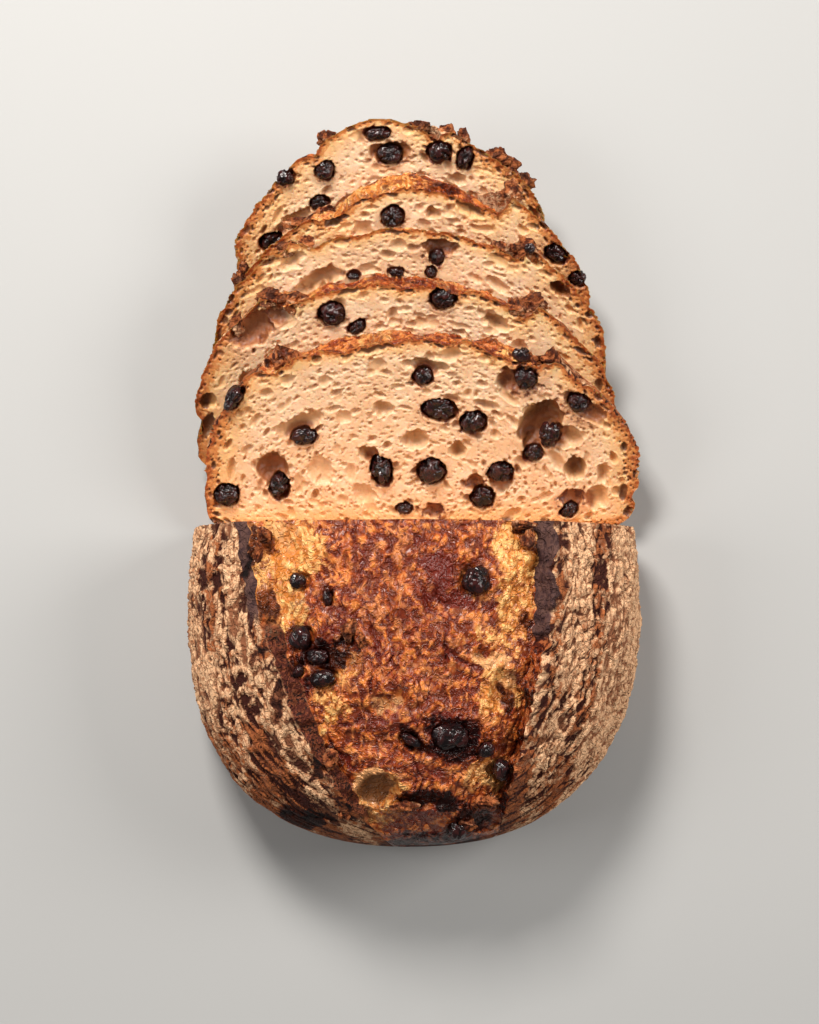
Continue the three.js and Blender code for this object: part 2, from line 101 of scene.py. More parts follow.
# Relief of the crust: heights, depths and sizes
SWELL = {"height": 1.5, "step": 34}
BARK_LUMPS = {"height": 1.1, "across": 6, "along": 15.6}
BLOOM_LUMPS = {"height": 1.7, "step": 8.5}
BARK = {"height": 1.6, "sunk": 0.95}
UNDER_BARK = {"height": 1.5, "sunk": 0.9}
CRACK_DEPTH = 0.8
BARK_PLATE = (2.7, 5.6)  # across and along
BARK_WORM = (2.6, 6.2)
BARK_SMALL = (1.5, 2.6)
BARK_CRACKS = (6.5, 14)
GIRTH_IN_BARK = 90  # where each flank's girth lies across the pattern of bark
BLISTER = 2.9
BLISTER_HEIGHT = 1.15
BLISTER_SUNK = 0.55
SKIN_SHEET = (15, 19)
SEAM_DEPTH = 0.4
BARK_STRIP = {-1: 3.2, 1: 0.3}  # width of the unfloured strip along each ear

# The knife's work and the lay-out
PITCH = 10.25  # one slice and the gap behind it
SLICE = 9.9  # thickness of a slice
SLICES = 4
CUT_LEAN = 0.065  # the whole half's cut face overhangs by this much for each mm of height
LEAN_LENGTH = 60  # and the lean dies away over this length
TILT = math.radians(31)  # of the slices' faces above the table
CUT_Y = -7  # foot of the whole half's cut face
HALF_X = 0.5
SLICE_X = (3.2, -2.2, -0.6, 0)
SLICE_TURN = (0.2, 0.3, -0.3, 0.3)  # degrees, in the plane of the face
END_X = -5
END_TURN = 5
# How far back and how high each slice and the end piece stand in the frame
STANDS = ((-5.310, 8.600), (14.618, 8.616), (34.501, 8.605), (53.494, 8.059), (76.049, 9.654))
SKIN_IN = 0.8  # how far the drawn skin lies inside the solid one at the girth, as room for its plates
SKIN_LEVEL = 52  # from this height up it lies level with it
MIDDLE = np.array([1.47, 8.72, 0])  # middle of the whole in plan, which is the frame's origin

# How finely each crust is drawn: columns on a shoulder, down an ear's inner face, over the bloom
# and underneath
FINE = {"shoulder": 118, "wall": 9, "bloom": 190, "under": 90}
HALF = {"shoulder": 104, "wall": 9, "bloom": 174, "under": 40}
HALF_ROWS = 180
SLICE_ROWS = 16
END_ROWS = 58

# Places on the whole half's crust: x, s, length across, length along, turn, strength
GOLDEN = (
    (-39, -8, 23, 19, -20, 1),
    (-48, -21, 5, 23, -8, 0.9),
    (-41, -24, 13, 16, 0, 0.9),
    (-45, -42, 5, 16, -20, 0.9),
    (35, -8, 16, 19, 0, 1),
    (34, -27, 13, 19, 0, 0.8),
    (29, -51, 13, 16, 0, 0.8),
    (-26, -54, 13, 8, -40, 0.7),
    (-29, -63, 6, 16, -30, 0.8),
    (-11, -87, 20, 16, 10, 0.9),
    (-23, -93, 13, 6, -20, 0.8),
    (24, -79, 14, 10, 0, 0.8),
    (-21, -42, 10, 13, 0, 0.7),
    (29, -36, 19, 6, -15, 0.6),
    (-51, -15, 9, 30, -6, 1),
)
PALE = (
    (-11, -83, 14, 10, 15, 1),
    (-7, -55, 13, 6, 25, 0.55),
    (25, -42, 13, 4, -10, 0.8),
    (30, -51, 8, 14, 0, 0.5),
    (-22, -93, 13, 7, 0, 0.4),
    (24, -79, 12, 8, 0, 0.42),
    (-44, -4, 14, 7, 0, 0.5),
)
BURNT = (
    (-48, -5, 10, 5, -50, 1),
    (-52, -12, 3, 13, -8, 0.9),
    (-46, -36, 3, 19, -25, 0.7),
    (-41, -51, 4, 19, -25, 0.9),
    (-29, -41, 13, 8, 0, 1),
    (-21, -38, 8, 5, -20, 0.7),
    (-26, -23, 3, 8, -28, 1),
    (-32, -50, 8, 5, 0, 0.8),
    (14, -66, 19, 15, 0, 0.9),
    (1, -68, 14, 5, -35, 1),
    (6, -87, 22, 6, 0, 1),
    (-20, -86, 8, 3, -60, 1),
    (-37, -95, 15, 9, 0, 1),
    (-26, -95, 7, 3, -40, 0.8),
    (19, -94, 13, 11, 0, 0.9),
    (40, -8, 5, 8, 25, 1),
    (6, -103, 34, 9, 0, 0.75),
    (37, -3, 10, 3, 0, 1),
    (30, -54, 5, 13, 15, 0.7),
    (38, -30, 4, 10, 10, 0.7),
    (-30, -74, 3, 16, -35, 0.9),
)
JUICE = (
    (9, -17, 8, 19, 15, 1),
    (14, -25, 19, 6, -12, 1),
    (-24, -33, 10, 16, 0, 0.8),
    (-20, -40, 16, 13, 0, 0.6),
    (-34, -24, 10, 10, 0, 0.5),
    (13, -65, 19, 16, 0, 0.9),
    (6, -77, 19, 6, -20, 0.7),
    (-5, -24, 10, 38, 0, 0.35),
    (3, -12, 10, 26, 10, 0.5),
    (11, -39, 10, 19, 20, 0.5),
    (-36, -51, 10, 6, 0, 0.7),
    (-5, -92, 39, 10, 0, 0.6),
)
# Torn pits in the bloom: x, s, length, width, turn, depth
CRUST_PITS = (
    (-11, -83.5, 15, 11.1, 15, 6),
    (-7.5, -55.5, 14.8, 7.1, 25, 2.6),
    (23.5, -40.5, 7.7, 4.5, -10, 3),
    (29, -51, 6.5, 12.9, 0, 2),
    (4, -87.5, 19.6, 5.2, 0, 3),
    (24.5, -95.5, 11.2, 8.6, 20, 5),
    (1, -68, 13.5, 5.2, -35, 3),
    (-20.5, -36, 5.8, 4.5, 20, 2),
)

# Folds and cracks of the bloom: x and s along each
FOLDS = (
    ((2, -6), (0, -15), (5, -26), (11, -34), (10, -46)),
    ((-24, -24), (-18, -29), (-11, -36), (-10, -43), (-13, -51)),
    ((11, -40), (18, -43), (30, -45), (35, -47)),
    ((-22, -61), (-9, -61), (1, -57), (6, -53)),
    ((10, -11), (7, -17), (9, -24), (18, -27), (28, -27)),
    ((-1, -73), (9, -82), (19, -84)),
    ((-27, -68), (-20, -75), (-13, -77)),
    ((-21, -97), (-6, -100), (9, -99)),
    ((-19, -3), (-16, -11), (-19, -19)),
    ((-6, -12), (-9, -24), (-5, -36), (-7, -48)),
)

# Crumpled flakes of browned crust on each slice and the end piece: x, h, width, height
CRAGS = (
    ((-49, 65, 9, 7), (-44, 66, 5, 5), (38.5, 67, 9, 6), (44, 66, 6, 8), (26.5, 69, 5, 4)),
    ((-44, 66, 8, 6), (-38, 67, 6, 6), (39, 65, 8, 6), (45, 64, 7, 7), (-34, 66, 5, 4), (-58, 58, 4, 7)),
    ((-40, 61, 6, 5), (-36, 62, 5, 4), (36, 66, 8, 7), (40.5, 63.5, 5, 5), (32, 64, 5, 4), (-59, 49, 4, 8)),
    ((28, 66, 6, 6), (33, 65, 8, 8), (37, 62, 6, 7), (-42, 54, 9, 4), (-60, 31, 4, 8)),
    (
        (17, 66, 6, 5),
        (22, 65, 5, 5),
        (30, 57, 4, 6),
        (-20, 59, 6, 5),
        (38, 44, 8, 7),
        (42, 40, 7, 7),
        (45, 35, 6, 6),
    ),
)
CRAG_LENGTH = 6.4
CRAG_BACK = 3.6  # from a slice's face to the middle of its flakes
CRAG_RISE = 5
# And on the half: x, s, width, length
HALF_CRAGS = (
    (-20, -33, 5, 7),
    (-16, -36, 4, 5),
    (24, -88, 9, 5),
    (-26, -73, 5, 7),
    (-50, -9, 4, 8),
    (-48, -4, 5, 5),
    (38, -6, 5, 6),
    (36, -1.5, 8, 3),
    (18, -96, 8, 5),
    (-2, -89, 9, 4),
    (-22, -92, 5, 5),
)

# Large holes in the crumb of each face: x, h, length, height, turn in degrees, depth
FACE_HOLES = (
    (
        (41, 40.5, 14.2, 19.7, -25, 7),
        (53.5, 23, 8.2, 9.6, 0, 6),
        (2.5, 63, 17.4, 5.5, -6, 3.2),
        (-50, 23.5, 11.6, 13.6, 10, 5),
        (-1.5, 34.5, 10.2, 7.9, -5, 3.5),
        (-16.5, 29, 6.8, 7.2, 0, 4),
        (-11.5, 46.5, 8.8, 5.5, 10, 2.5),
        (-33.5, 23, 8.9, 12, 20, 1.8),
        (-40.5, 40.5, 18.9, 7.1, 28, 2.6),
        (51, 35.5, 9.5, 8.7, 0, 3),
        (63.5, 21.5, 4.8, 8, 0, 2.5),
        (13.5, 30.5, 6.1, 6.4, 0, 4),
        (61.5, 12, 8.3, 10.4, 0, 2.5),
        (-19, 13, 6.9, 10.4, 40, 1.6),
        (31, 57, 9, 10, -35, 3.4),
        (58, 45, 12, 6.5, -28, 2.8),
        (19, 17, 6, 6, -20, 3.2),
        (53, 11.5, 9, 7, 10, 2.8),
        (5, 6.5, 8, 6, 0, 3),
        (28, 18, 8, 8, -30, 2.2),
    ),
    (
        (-50.5, 54.5, 17.4, 11.7, 35, 4.5),
        (-41, 61, 11.4, 10.1, 20, 4),
        (32, 56.5, 10.1, 5.5, -28, 4),
        (-66.5, 27, 4.8, 6.4, 0, 3.5),
        (-3, 60, 4.7, 3.9, 0, 2),
        (19, 52.5, 6, 2.7, -10, 2.5),
        (-2.5, 57, 4.4, 3.6, 0, 1.8),
        (3, 56.3, 4, 3.2, 0, 1.8),
        (6.7, 56.6, 4, 3.6, 0, 1.8),
    ),
    (
        (-30.5, 50, 17.5, 7.1, 28, 4),
        (10.5, 62.5, 12.7, 5.5, -4, 4),
        (-39.5, 57, 9.4, 6.2, 35, 2.5),
        (-7, 60, 4.7, 3.1, 0, 2),
        (51, 47.5, 8.1, 4.7, -40, 6),
        (56, 24, 5.5, 4.4, -20, 3),
        (43, 57, 4.7, 2.7, -30, 3),
        (-63.5, 20, 4, 4, 0, 3),
    ),
    (
        (8, 54.5, 5, 4.3, -8, 3),
        (20.5, 55.5, 11.4, 3.5, -30, 2.4),
        (-25.5, 51.5, 7.4, 3.9, 18, 2.6),
        (13.5, 56, 3.7, 2.7, 20, 2),
        (14.5, 51.5, 3, 2, -30, 1.5),
        (-12.5, 56.5, 5, 2, 0, 1.5),
        (46, 50, 3.4, 2.7, -30, 4),
        (64, 33, 2.7, 3, 0, 2),
    ),
    (
        (24.5, 40, 7.4, 3.9, -15, 2.5),
        (-32, 29.5, 15, 5.6, 32, 3.5),
        (3, 52, 14.8, 7.8, 0, 2.8),
    ),
)
# Fruit stains and baked-in colour on each face: x, h, length, height, turn, strength
FACE_STAINS = (
    (
        (36, 58, 17, 16, -30, 1.1),
        (54, 47, 22, 14, -35, 1),
        (40, 34, 14, 14, -20, 0.7),
        (-50, 20, 15, 15, 10, 0.8),
        (19, 17, 9, 8, -20, 1.1),
        (53, 10, 14, 11, 0, 1.1),
        (5, 6, 11, 9, 0, 1.1),
    ),
    ((-50, 54, 24, 13, 35, 1), (-56, 47, 18, 12, 40, 0.8)),
    ((8, 61, 17, 9, -5, 1), (50, 47, 12, 8, -40, 0.7)),
    ((50, 39, 17, 12, -35, 1), (57, 30, 13, 12, -35, 1)),
    ((3, 51, 17, 12, 0, 1), (-1, 57, 14, 9, 0, 0.7)),
)
# Scattered gas bubbles, from the rim's and the finest to the largest. A share of the places at
# each spacing has one. Depth goes with the radius, and long is how drawn out they may be.
BUBBLES = (
    {"spacing": 1.35, "share": 0.62, "radii": (0.2, 0.5), "seed": 1, "deep": 1.5, "long": 1.6},
    {"spacing": 1.1, "share": 0.55, "radii": (0.2, 0.5), "seed": 6, "deep": 2.0, "long": 1.0, "rim": True},
    {"spacing": 2.5, "share": 0.62, "radii": (0.4, 1.0), "seed": 2, "deep": 1.2, "long": 1.5},
    {"spacing": 4.6, "share": 0.62, "radii": (0.8, 1.9), "seed": 3, "deep": 0.95, "long": 1.9},
    {"spacing": 9.0, "share": 0.5, "radii": (1.6, 3.2), "seed": 4, "deep": 0.6, "long": 2.4},
)
# They lie along ellipses round a middle at this height, given by the squares of their half axes
FLOW_MIDDLE = 12
FLOW_ACROSS = 6000
FLOW_UP = 3600


# Noise, cells and masks


def lattice(ix, iy, iz, seed):
    def part(value, factor):
        return (np.atleast_1d(value).astype(np.int64) & 0xFFFFFFFF).astype(np.uint32) * np.uint32(factor)

    h = part(ix, 374761393) + part(iy, 668265263) + part(iz, 1274126177) + part(seed, 974634521)
    h = (h ^ (h >> np.uint32(13))) * np.uint32(1103515245)
    h = h ^ (h >> np.uint32(16))
    return h.astype(float) / 4294967295 * 2 - 1


def noise(x, y, z, seed):
    """Value noise from -1 to 1 on a unit lattice, as in the solids."""
    x, y, z = np.broadcast_arrays(np.asarray(x, float), np.asarray(y, float), np.asarray(z, float))
    ix, iy, iz = (np.floor(v).astype(np.int64) for v in (x, y, z))
    u, v, w = (t * t * (3 - 2 * t) for t in (x - ix, y - iy, z - iz))

    def along(dy, dz):
        start = lattice(ix, iy + dy, iz + dz, seed)
        return start + (lattice(ix + 1, iy + dy, iz + dz, seed) - start) * u

    low = along(0, 0)
    low = low + (along(1, 0) - low) * v
    high = along(0, 1)
    high = high + (along(1, 1) - high) * v
    return low + (high - low) * w


def layered(x, y, z, seed, layers=3):
    """Noise with finer layers over it."""
    total = 0
    for i in range(layers):
        total = total + noise(x * 2**i, y * 2**i, z * 2**i, seed + 7 * i) / 2**i
    return total / 1.6


def cells(x, y, seed):
    """Distances to the nearest and the second nearest of scattered points, and a value for each."""
    ix, iy = np.floor(x), np.floor(y)
    near = np.full(np.shape(x), 9.0)
    second = near.copy()
    tone = np.zeros(np.shape(x))
    for dx in (-1, 0, 1):
        for dy in (-1, 0, 1):
            cx, cy = ix + dx, iy + dy
            px = cx + 0.5 + 0.45 * lattice(cx, cy, 0, seed)
            py = cy + 0.5 + 0.45 * lattice(cx, cy, 1, seed)
            away = np.hypot(px - x, py - y)
            closer = away < near
            second = np.where(closer, near, np.minimum(second, away))
            tone = np.where(closer, lattice(cx, cy, 2, seed), tone)
            near = np.where(closer, away, near)
    return near, second, tone


def ease(value, low, high):
    t = np.clip((np.asarray(value, float) - low) / (high - low), 0, 1)
    return t * t * (3 - 2 * t)


def inside_oval(x, y, oval):
    """0 at the middle of an oval and 1 on its outline."""
    cx, cy, length, height, turn = oval[:5]
    c, s = math.cos(math.radians(turn)), math.sin(math.radians(turn))
    u = (x - cx) * c + (y - cy) * s
    v = (y - cy) * c - (x - cx) * s
    return (2 * u / length) ** 2 + (2 * v / height) ** 2


def bent(x, y, *bends, apart=4):
    """Places moved about by noise. A bend is its reach, its size and its seed."""
    moved_x, moved_y = x, y
    for reach, size, seed in bends:
        moved_x = moved_x + reach * noise(x / size, y / size, 0, seed)
        moved_y = moved_y + reach * noise(x / size, y / size, apart, seed)
    return moved_x, moved_y


def patches(x, y, ovals, seed):
    """Soft irregular patches: the strongest at each point."""
    x, y = bent(x, y, (2.2, 6, seed), (1.1, 2.4, seed + 1), apart=5)
    best = np.zeros(np.shape(x))
    for oval in ovals:
        q = inside_oval(x, y, oval)
        best = np.maximum(best, oval[5] * (1 - ease(q, 0.45, 1.7)))
    return best


# The form of the loaf, the same as in the solids


def reach_share(s):
    return np.minimum(1, np.abs(s - WIDEST) / np.where(s < WIDEST, TIP_REACH, END_REACH))


def plan_share(s):
    power = np.where(np.asarray(s) < WIDEST, TIP_POWER, END_POWER)
    return (1 - reach_share(s) ** power) ** (1 / power)


def under_share(s):
    return (1 - reach_share(s) ** HEEL_POWER) ** (1 / HEEL_POWER)


def tip_swing(ear, s):
    """How far an ear has swung from its place at the cut, on the way to the tip."""
    return ear["tip_swing"] * (np.maximum(-s, 0) / ear["tip_length"]) ** ear["tip_power"]


def left_ear_x(s):
    back = LEFT_EAR["at_cut"] + LEFT_EAR["end_slope"] * s
    return np.where(s >= 0, back, LEFT_EAR["at_cut"] + tip_swing(LEFT_EAR, s))


def right_ear_x(s):
    share = np.maximum(s, 0) / RIGHT_EAR["end_length"]
    back = RIGHT_EAR["at_cut"] + RIGHT_EAR["end_swing"] * share ** RIGHT_EAR["end_power"]
    tip = RIGHT_EAR["at_cut"] + tip_swing(RIGHT_EAR, s)
    return np.maximum(np.where(s >= 0, back, tip), left_ear_x(s) + LEAST_BLOOM)


def dome_power(side, s):
    share = ease(s, *DOME_CHANGE)
    left = LEFT_POWER[0] + (LEFT_POWER[1] - LEFT_POWER[0]) * share
    right = RIGHT_POWER[0] + (RIGHT_POWER[1] - RIGHT_POWER[0]) * share
    return np.where(side < 0, left, right)


def dome_angle(x, s):
    share = np.minimum(np.abs(x) / np.maximum(HALF_WIDTH * plan_share(s), 1e-6), 0.96)
    angle = np.arccos(share ** (dome_power(x, s) / 2))
    return np.where(x < 0, np.pi - angle, angle)


def dome_point(angle, s):
    c, d = np.cos(angle), np.maximum(np.sin(angle), 0)
    k, power = plan_share(s), dome_power(c, s)
    x = HALF_WIDTH * k * np.sign(c) * np.abs(c) ** (2 / power)
    return np.stack([x, s + 0 * x, GIRTH + CROWN * k * d ** (2 / power)], -1)


def dome_height(x, s):
    k, power = plan_share(s), dome_power(x, s)
    share = np.clip(np.abs(x) / (HALF_WIDTH * k), 0, 1)
    return GIRTH + CROWN * k * np.clip(1 - share**power, 0, 1) ** (1 / power)


def unit(v):
    return v / np.maximum(np.linalg.norm(v, axis=-1, keepdims=True), 1e-9)


def dome_normal(p, s):
    slope = plan_share(s + 0.5) - plan_share(s - 0.5)
    x, z, power = p[..., 0] / HALF_WIDTH, (p[..., 2] - GIRTH) / CROWN, dome_power(p[..., 0], s)
    z = np.maximum(z, 0)
    size = np.maximum((np.abs(x) ** power + z**power) ** (1 / power), 1e-6)

    def lift(t):
        return (np.abs(t) / size) ** (power - 1) * np.sign(t)

    return unit(np.stack([lift(x) / HALF_WIDTH, -slope + 0 * x, lift(z) / CROWN], -1))


def under_outline(shares):
    """Points of the underside's outline, evenly spaced from the right girth to the left one."""
    a = np.linspace(0, np.pi, 401)
    corner = 2 / UNDER_POWER
    x = np.sign(np.cos(a)) * np.abs(np.cos(a)) ** corner
    y = np.abs(np.sin(a)) ** corner
    steps = np.hypot(np.diff(x) * HALF_WIDTH, np.diff(y) * (GIRTH + BASE_SINK))
    lengths = np.concatenate([[0], np.cumsum(steps)])
    goal = shares * lengths[-1]
    return np.interp(goal, lengths, x), np.interp(goal, lengths, y)


def ear_share(s):
    left = np.minimum(s - (WIDEST - TIP_REACH), WIDEST + END_REACH - s)
    return ease(left, 4, 4 + EAR_FADE)


def at_cuts(values, s):
    return np.interp(s / PITCH, range(len(values)), values)


def ear_height(side, s):
    ragged = EAR_RAGGED["height"] * noise(s / EAR_RAGGED["step"], 7.5 if side < 0 else 1.5, 0, 2)
    return (at_cuts(EAR_HEIGHT[side], s) + ragged) * ear_share(s)


def swell(p):
    size = SWELL["step"]
    return SWELL["height"] * noise(p[..., 0] / size, p[..., 1] / size, p[..., 2] / size, 1)


def bark_lumps(x, s, z):
    across, along = BARK_LUMPS["across"], BARK_LUMPS["along"]
    return BARK_LUMPS["height"] * noise(x / across, s / along, z / across, 3)


# The skin of the loaf: each part returns its points and what the finishes need to know of them


def bark(across, s, seed):
    """Floured bark, longest along the loaf: how high its ridges and plates stand, its cracks, its tone."""

    def at(x, along, size):
        return x / size[0], along / size[1]

    wx = across + 1.1 * noise(across / 4, s / 6, 0, seed) + 0.5 * noise(across / 1.6, s / 2.1, 0, seed + 1)
    ws = s + 1.8 * noise(across / 4.5, s / 6, 4, seed) + 0.6 * noise(across / 1.6, s / 2.1, 4, seed + 1)
    near, second, tone = cells(*at(wx, ws, BARK_PLATE), seed + 2)
    plate = ease(second - near, 0.03, 0.4)
    worm = np.clip(1.15 - 2.6 * np.abs(noise(*at(wx, ws, BARK_WORM), 0, seed + 3)), 0, 1)
    small = np.clip(1.1 - 2.4 * np.abs(noise(*at(wx, ws, BARK_SMALL), 3, seed + 4)), 0, 1)
    zone = ease(noise(across / 8, s / 15, 0, seed + 5), -0.25, 0.25)
    wide_near, wide_second, _ = cells(*at(wx, ws, BARK_CRACKS), seed + 6)
    crack = 1 - ease(wide_second - wide_near, 0.0, 0.08)
    return 0.7 * (worm * zone + plate * (1 - zone)) + 0.3 * small, crack, tone


def bark_relief(high, crack, kind):
    """How far bark stands out of the skin, part of it sunk so that it doesn't swell the loaf."""
    return kind["height"] * high - kind["sunk"] - CRACK_DEPTH * crack


def bark_all_round(across, x, s, z):
    """Bark over the whole skin: along the loaf on the flanks and across it at the two ends."""
    share = ease(reach_share(s), 0.9, 0.96)
    return [a + (b - a) * share for a, b in zip(bark(across, s, 30), bark(z, x, 36))]


def worms(x, y, z, seed):
    """Twisting ridges like blistered dough, from 0 in the creases to 1 on the ridges."""
    wx = x + 1.6 * noise(x / 4.2, y / 4.2, z / 4.2, seed)
    wy = y + 1.6 * noise(x / 4.2, y / 4.2, z / 4.2 + 9, seed)
    first = 1 - np.abs(noise(wx / 2.3, wy / 2.3, z / 2.3, seed + 1)) * 2.6
    second = 1 - np.abs(noise(wx / 1.35, wy / 1.35, z / 1.35 + 3, seed + 2)) * 2.4
    return np.clip(0.62 * first + 0.38 * second, 0, 1)


def shoulder(base, s, side, to_edge, from_girth):
    """The flank between the girth and an ear."""
    x, z = base[..., 0], base[..., 2]
    sliced = s > 0.01
    height = ear_height(side, s)
    ear = height * np.exp(-to_edge / EAR_WIDTH)
    curl = EAR_CURL * height * np.exp(-to_edge / (EAR_WIDTH / 3))
    high, crack, tone = bark_all_round(from_girth + side * GIRTH_IN_BARK, x, s, z)
    rough = ease(to_edge, 1.5, 6)
    fine = np.where(sliced, 0.5, 1) * rough * bark_relief(high, crack, BARK)
    fine = fine + 0.35 * (1 - rough) * noise(x / 1.6, s / 3, z / 1.6, 42)
    ragged = np.exp(-to_edge / 1.5) * np.minimum(height, 4) / 4 * np.where(sliced, 1.5, 1)
    torn = 1.3 * noise(s / 1.2, to_edge / 2, side, 44) + 0.9 * noise(s / 3.1, to_edge / 3, side, 45)
    fine = fine + ragged * torn
    inset = SKIN_IN * (1 - ease(z, GIRTH, SKIN_LEVEL))
    out = swell(base) + bark_lumps(x, s, z) + ear + fine - inset
    points = base + dome_normal(base, s) * out[..., None]
    points[..., 0] -= side * curl
    points[..., 1] = s
    width = BARK_STRIP[side]
    uneven = 0.8 * noise(s / 7, side, 0, 41) + 0.5 * noise(s / 1.6, side, 0, 43)
    strip = (1 - ease(to_edge + uneven, width, width + 1.2)) * ease(s, -45, -15)
    return points, {"plate": high * (1 - crack), "tone": tone, "strip": strip * ear_share(s)}


def off_fold(x, s, fold):
    """How far each place is from a fold."""
    best = np.full(np.shape(x), 99.0)
    for (x0, s0), (x1, s1) in zip(fold, fold[1:]):
        dx, ds = x1 - x0, s1 - s0
        t = np.clip(((x - x0) * dx + (s - s0) * ds) / (dx * dx + ds * ds), 0, 1)
        best = np.minimum(best, np.hypot(x - x0 - t * dx, s - s0 - t * ds))
    return best


def off_folds(x, s):
    """How far each place is from the nearest fold."""
    return np.min([off_fold(x, s, fold) for fold in FOLDS], 0)


def pit_depth(x, s, ovals):
    """How deep the torn pits are at each place."""
    dug = np.zeros(np.shape(x))
    for oval in ovals:
        q = inside_oval(x, s, oval)
        dug = np.maximum(dug, oval[5] * np.sqrt(np.clip(1 - q, 0, 1)) ** 0.8)
    return dug


def blistered(x, s, z):
    """Worm-like ridges in some places and round blisters in others, and a tone for each blister."""
    near, second, tone = cells(*(v / BLISTER for v in bent(x, s, (1.8, 5, 53), (0.7, 2, 52))), 54)
    bubble = np.sqrt(np.clip(1 - (near / 0.68) ** 2, 0, 1)) * (0.75 + 0.25 * tone)
    bubble = bubble * ease(second - near, 0.0, 0.22)
    share = ease(noise(x / 9, s / 9, z / 9, 55), -0.2, 0.3)
    return worms(x, s, z, 50) * share + bubble * (1 - share), tone


def seams(x, s):
    """Seams between the sheets of dough, from 0 to 1."""
    sheet_x, sheet_s = bent(x, s, (5, 11, 56))
    near, second, _ = cells(sheet_x / SKIN_SHEET[0], sheet_s / SKIN_SHEET[1], 57)
    return 1 - ease(second - near, 0.0, 0.05)


def bloom(base, s, to_left, to_right, ovals):
    """The burst top between the ears."""
    x, z = base[..., 0], base[..., 2]
    left, right = np.exp(-to_left / GROOVE_WIDTH), np.exp(-to_right / GROOVE_WIDTH)
    groove = at_cuts(GROOVE_DEPTH[-1], s) * left + at_cuts(GROOVE_DEPTH[1], s) * right
    rise = at_cuts(BLOOM_RISE, s) * (1 - np.maximum(left, right))
    size = BLOOM_LUMPS["step"]
    lumps = BLOOM_LUMPS["height"] * noise(x / size, s / size, z / size, 4)
    lumps = lumps + 0.6 * noise(x / 4, s / 4, z / 4, 5)
    raised, tone = blistered(x, s, z)
    seam = seams(x, s)
    away = off_folds(*bent(x, s, (1.5, 4, 59)))
    broken = ease(noise(x / 5, s / 5, 8, 62), -0.5, 0.3)
    lip = broken * (0.45 * np.exp(-(((away - 1.9) / 0.9) ** 2)) - 1.0 * np.exp(-((away / 0.6) ** 2)))
    dug = pit_depth(*bent(x, s, (0.8, 2.5, 58)), ovals)
    fine = (BLISTER_HEIGHT * raised - BLISTER_SUNK) * (1 - 0.85 * ease(dug, 0.3, 1.5))
    # Low down at the tip the bloom goes over into bark
    high, crack, bark_tone = bark_all_round(0 * x, x, s, z)
    low = 1 - ease(z + 3 * noise(x / 6, s / 6, 0, 66), 26, 40)
    fine = fine + (bark_relief(high, crack, BARK) - SKIN_IN - fine) * low
    relief = swell(base) + rise + lumps + fine + lip - groove * ear_share(s) - SEAM_DEPTH * seam - dug
    points = base + dome_normal(base, s) * relief[..., None]
    points[..., 1] = s
    plate = np.clip(raised - 0.6 * seam, 0, 1)
    look = {
        "plate": plate + (high * (1 - crack) - plate) * low,
        "tone": tone + (bark_tone - tone) * low,
        "dug": dug,
        # How close to a fold, where the crust is drawn darker: partly its own colour, partly painted shade in
        # the groove
        "fold": (0.3 + 0.7 * broken) * np.exp(-((away / 1.5) ** 2)),
        "on_bloom": 1 - low,
    }
    return points, look


def underside(shares, s):
    """The flat base and the sides under the girth, from right to left."""
    ox, oy = under_outline(shares)
    k = plan_share(s)
    z = np.maximum(GIRTH - (GIRTH + BASE_SINK) * under_share(s) * oy, 0)
    x = HALF_WIDTH * k * ox
    base = np.stack([x, s + 0 * x, z], -1)
    power = UNDER_POWER - 1
    across, down = np.sign(ox) * np.abs(ox) ** power / HALF_WIDTH, -(np.abs(oy) ** power) / GIRTH
    out = np.stack([across + 0 * x, 0 * x, down + 0 * x], -1)
    above_base = ease(z, 1, 13)
    from_girth = np.hypot(x - HALF_WIDTH * k * np.sign(ox), GIRTH - z)
    high, crack, tone = bark_all_round(np.sign(x) * GIRTH_IN_BARK - from_girth, x, s + 0 * x, z)
    fine = bark_relief(high, crack, UNDER_BARK) - SKIN_IN
    points = base + unit(out) * ((swell(base) + bark_lumps(x, s, z) + fine) * above_base)[..., None]
    points[..., 1] = s
    return points, {"plate": high * (1 - crack), "tone": tone}


# What is known of each point of the skin
LOOKS = ("plate", "tone", "strip", "dug", "fold", "on_bloom", "wall", "side", "edge")
UNDERSIDE_EDGE = 60  # stands for the distance to an ear under the girth
DOUGHY_WALL = (-36, -26)  # the left ear's inner face turns from burnt to doughy between these
PURPLE_WALL = (-42, -30)  # and the right one's from doughy to purplish brown


def ear_wall(crest, foot, count):
    """The burnt inner face of an ear, without its two ends."""
    t = np.linspace(0, 1, count + 2)[1:-1][None, :, None]
    points = crest[:, None] + (foot - crest)[:, None] * t
    x, y, z = points[..., 0], points[..., 1], points[..., 2]
    lumps = 1.0 * noise(x / 1.5, y / 2.2, z / 1.5, 60) + 1.3 * noise(x / 4, y / 3.5, z / 4, 61)
    points[..., 2] += lumps * np.sin(np.pi * t[..., 0])
    points[..., 0] += 0.8 * noise(x / 3, y / 2.5, z / 3, 65) * np.sin(np.pi * t[..., 0])
    return points


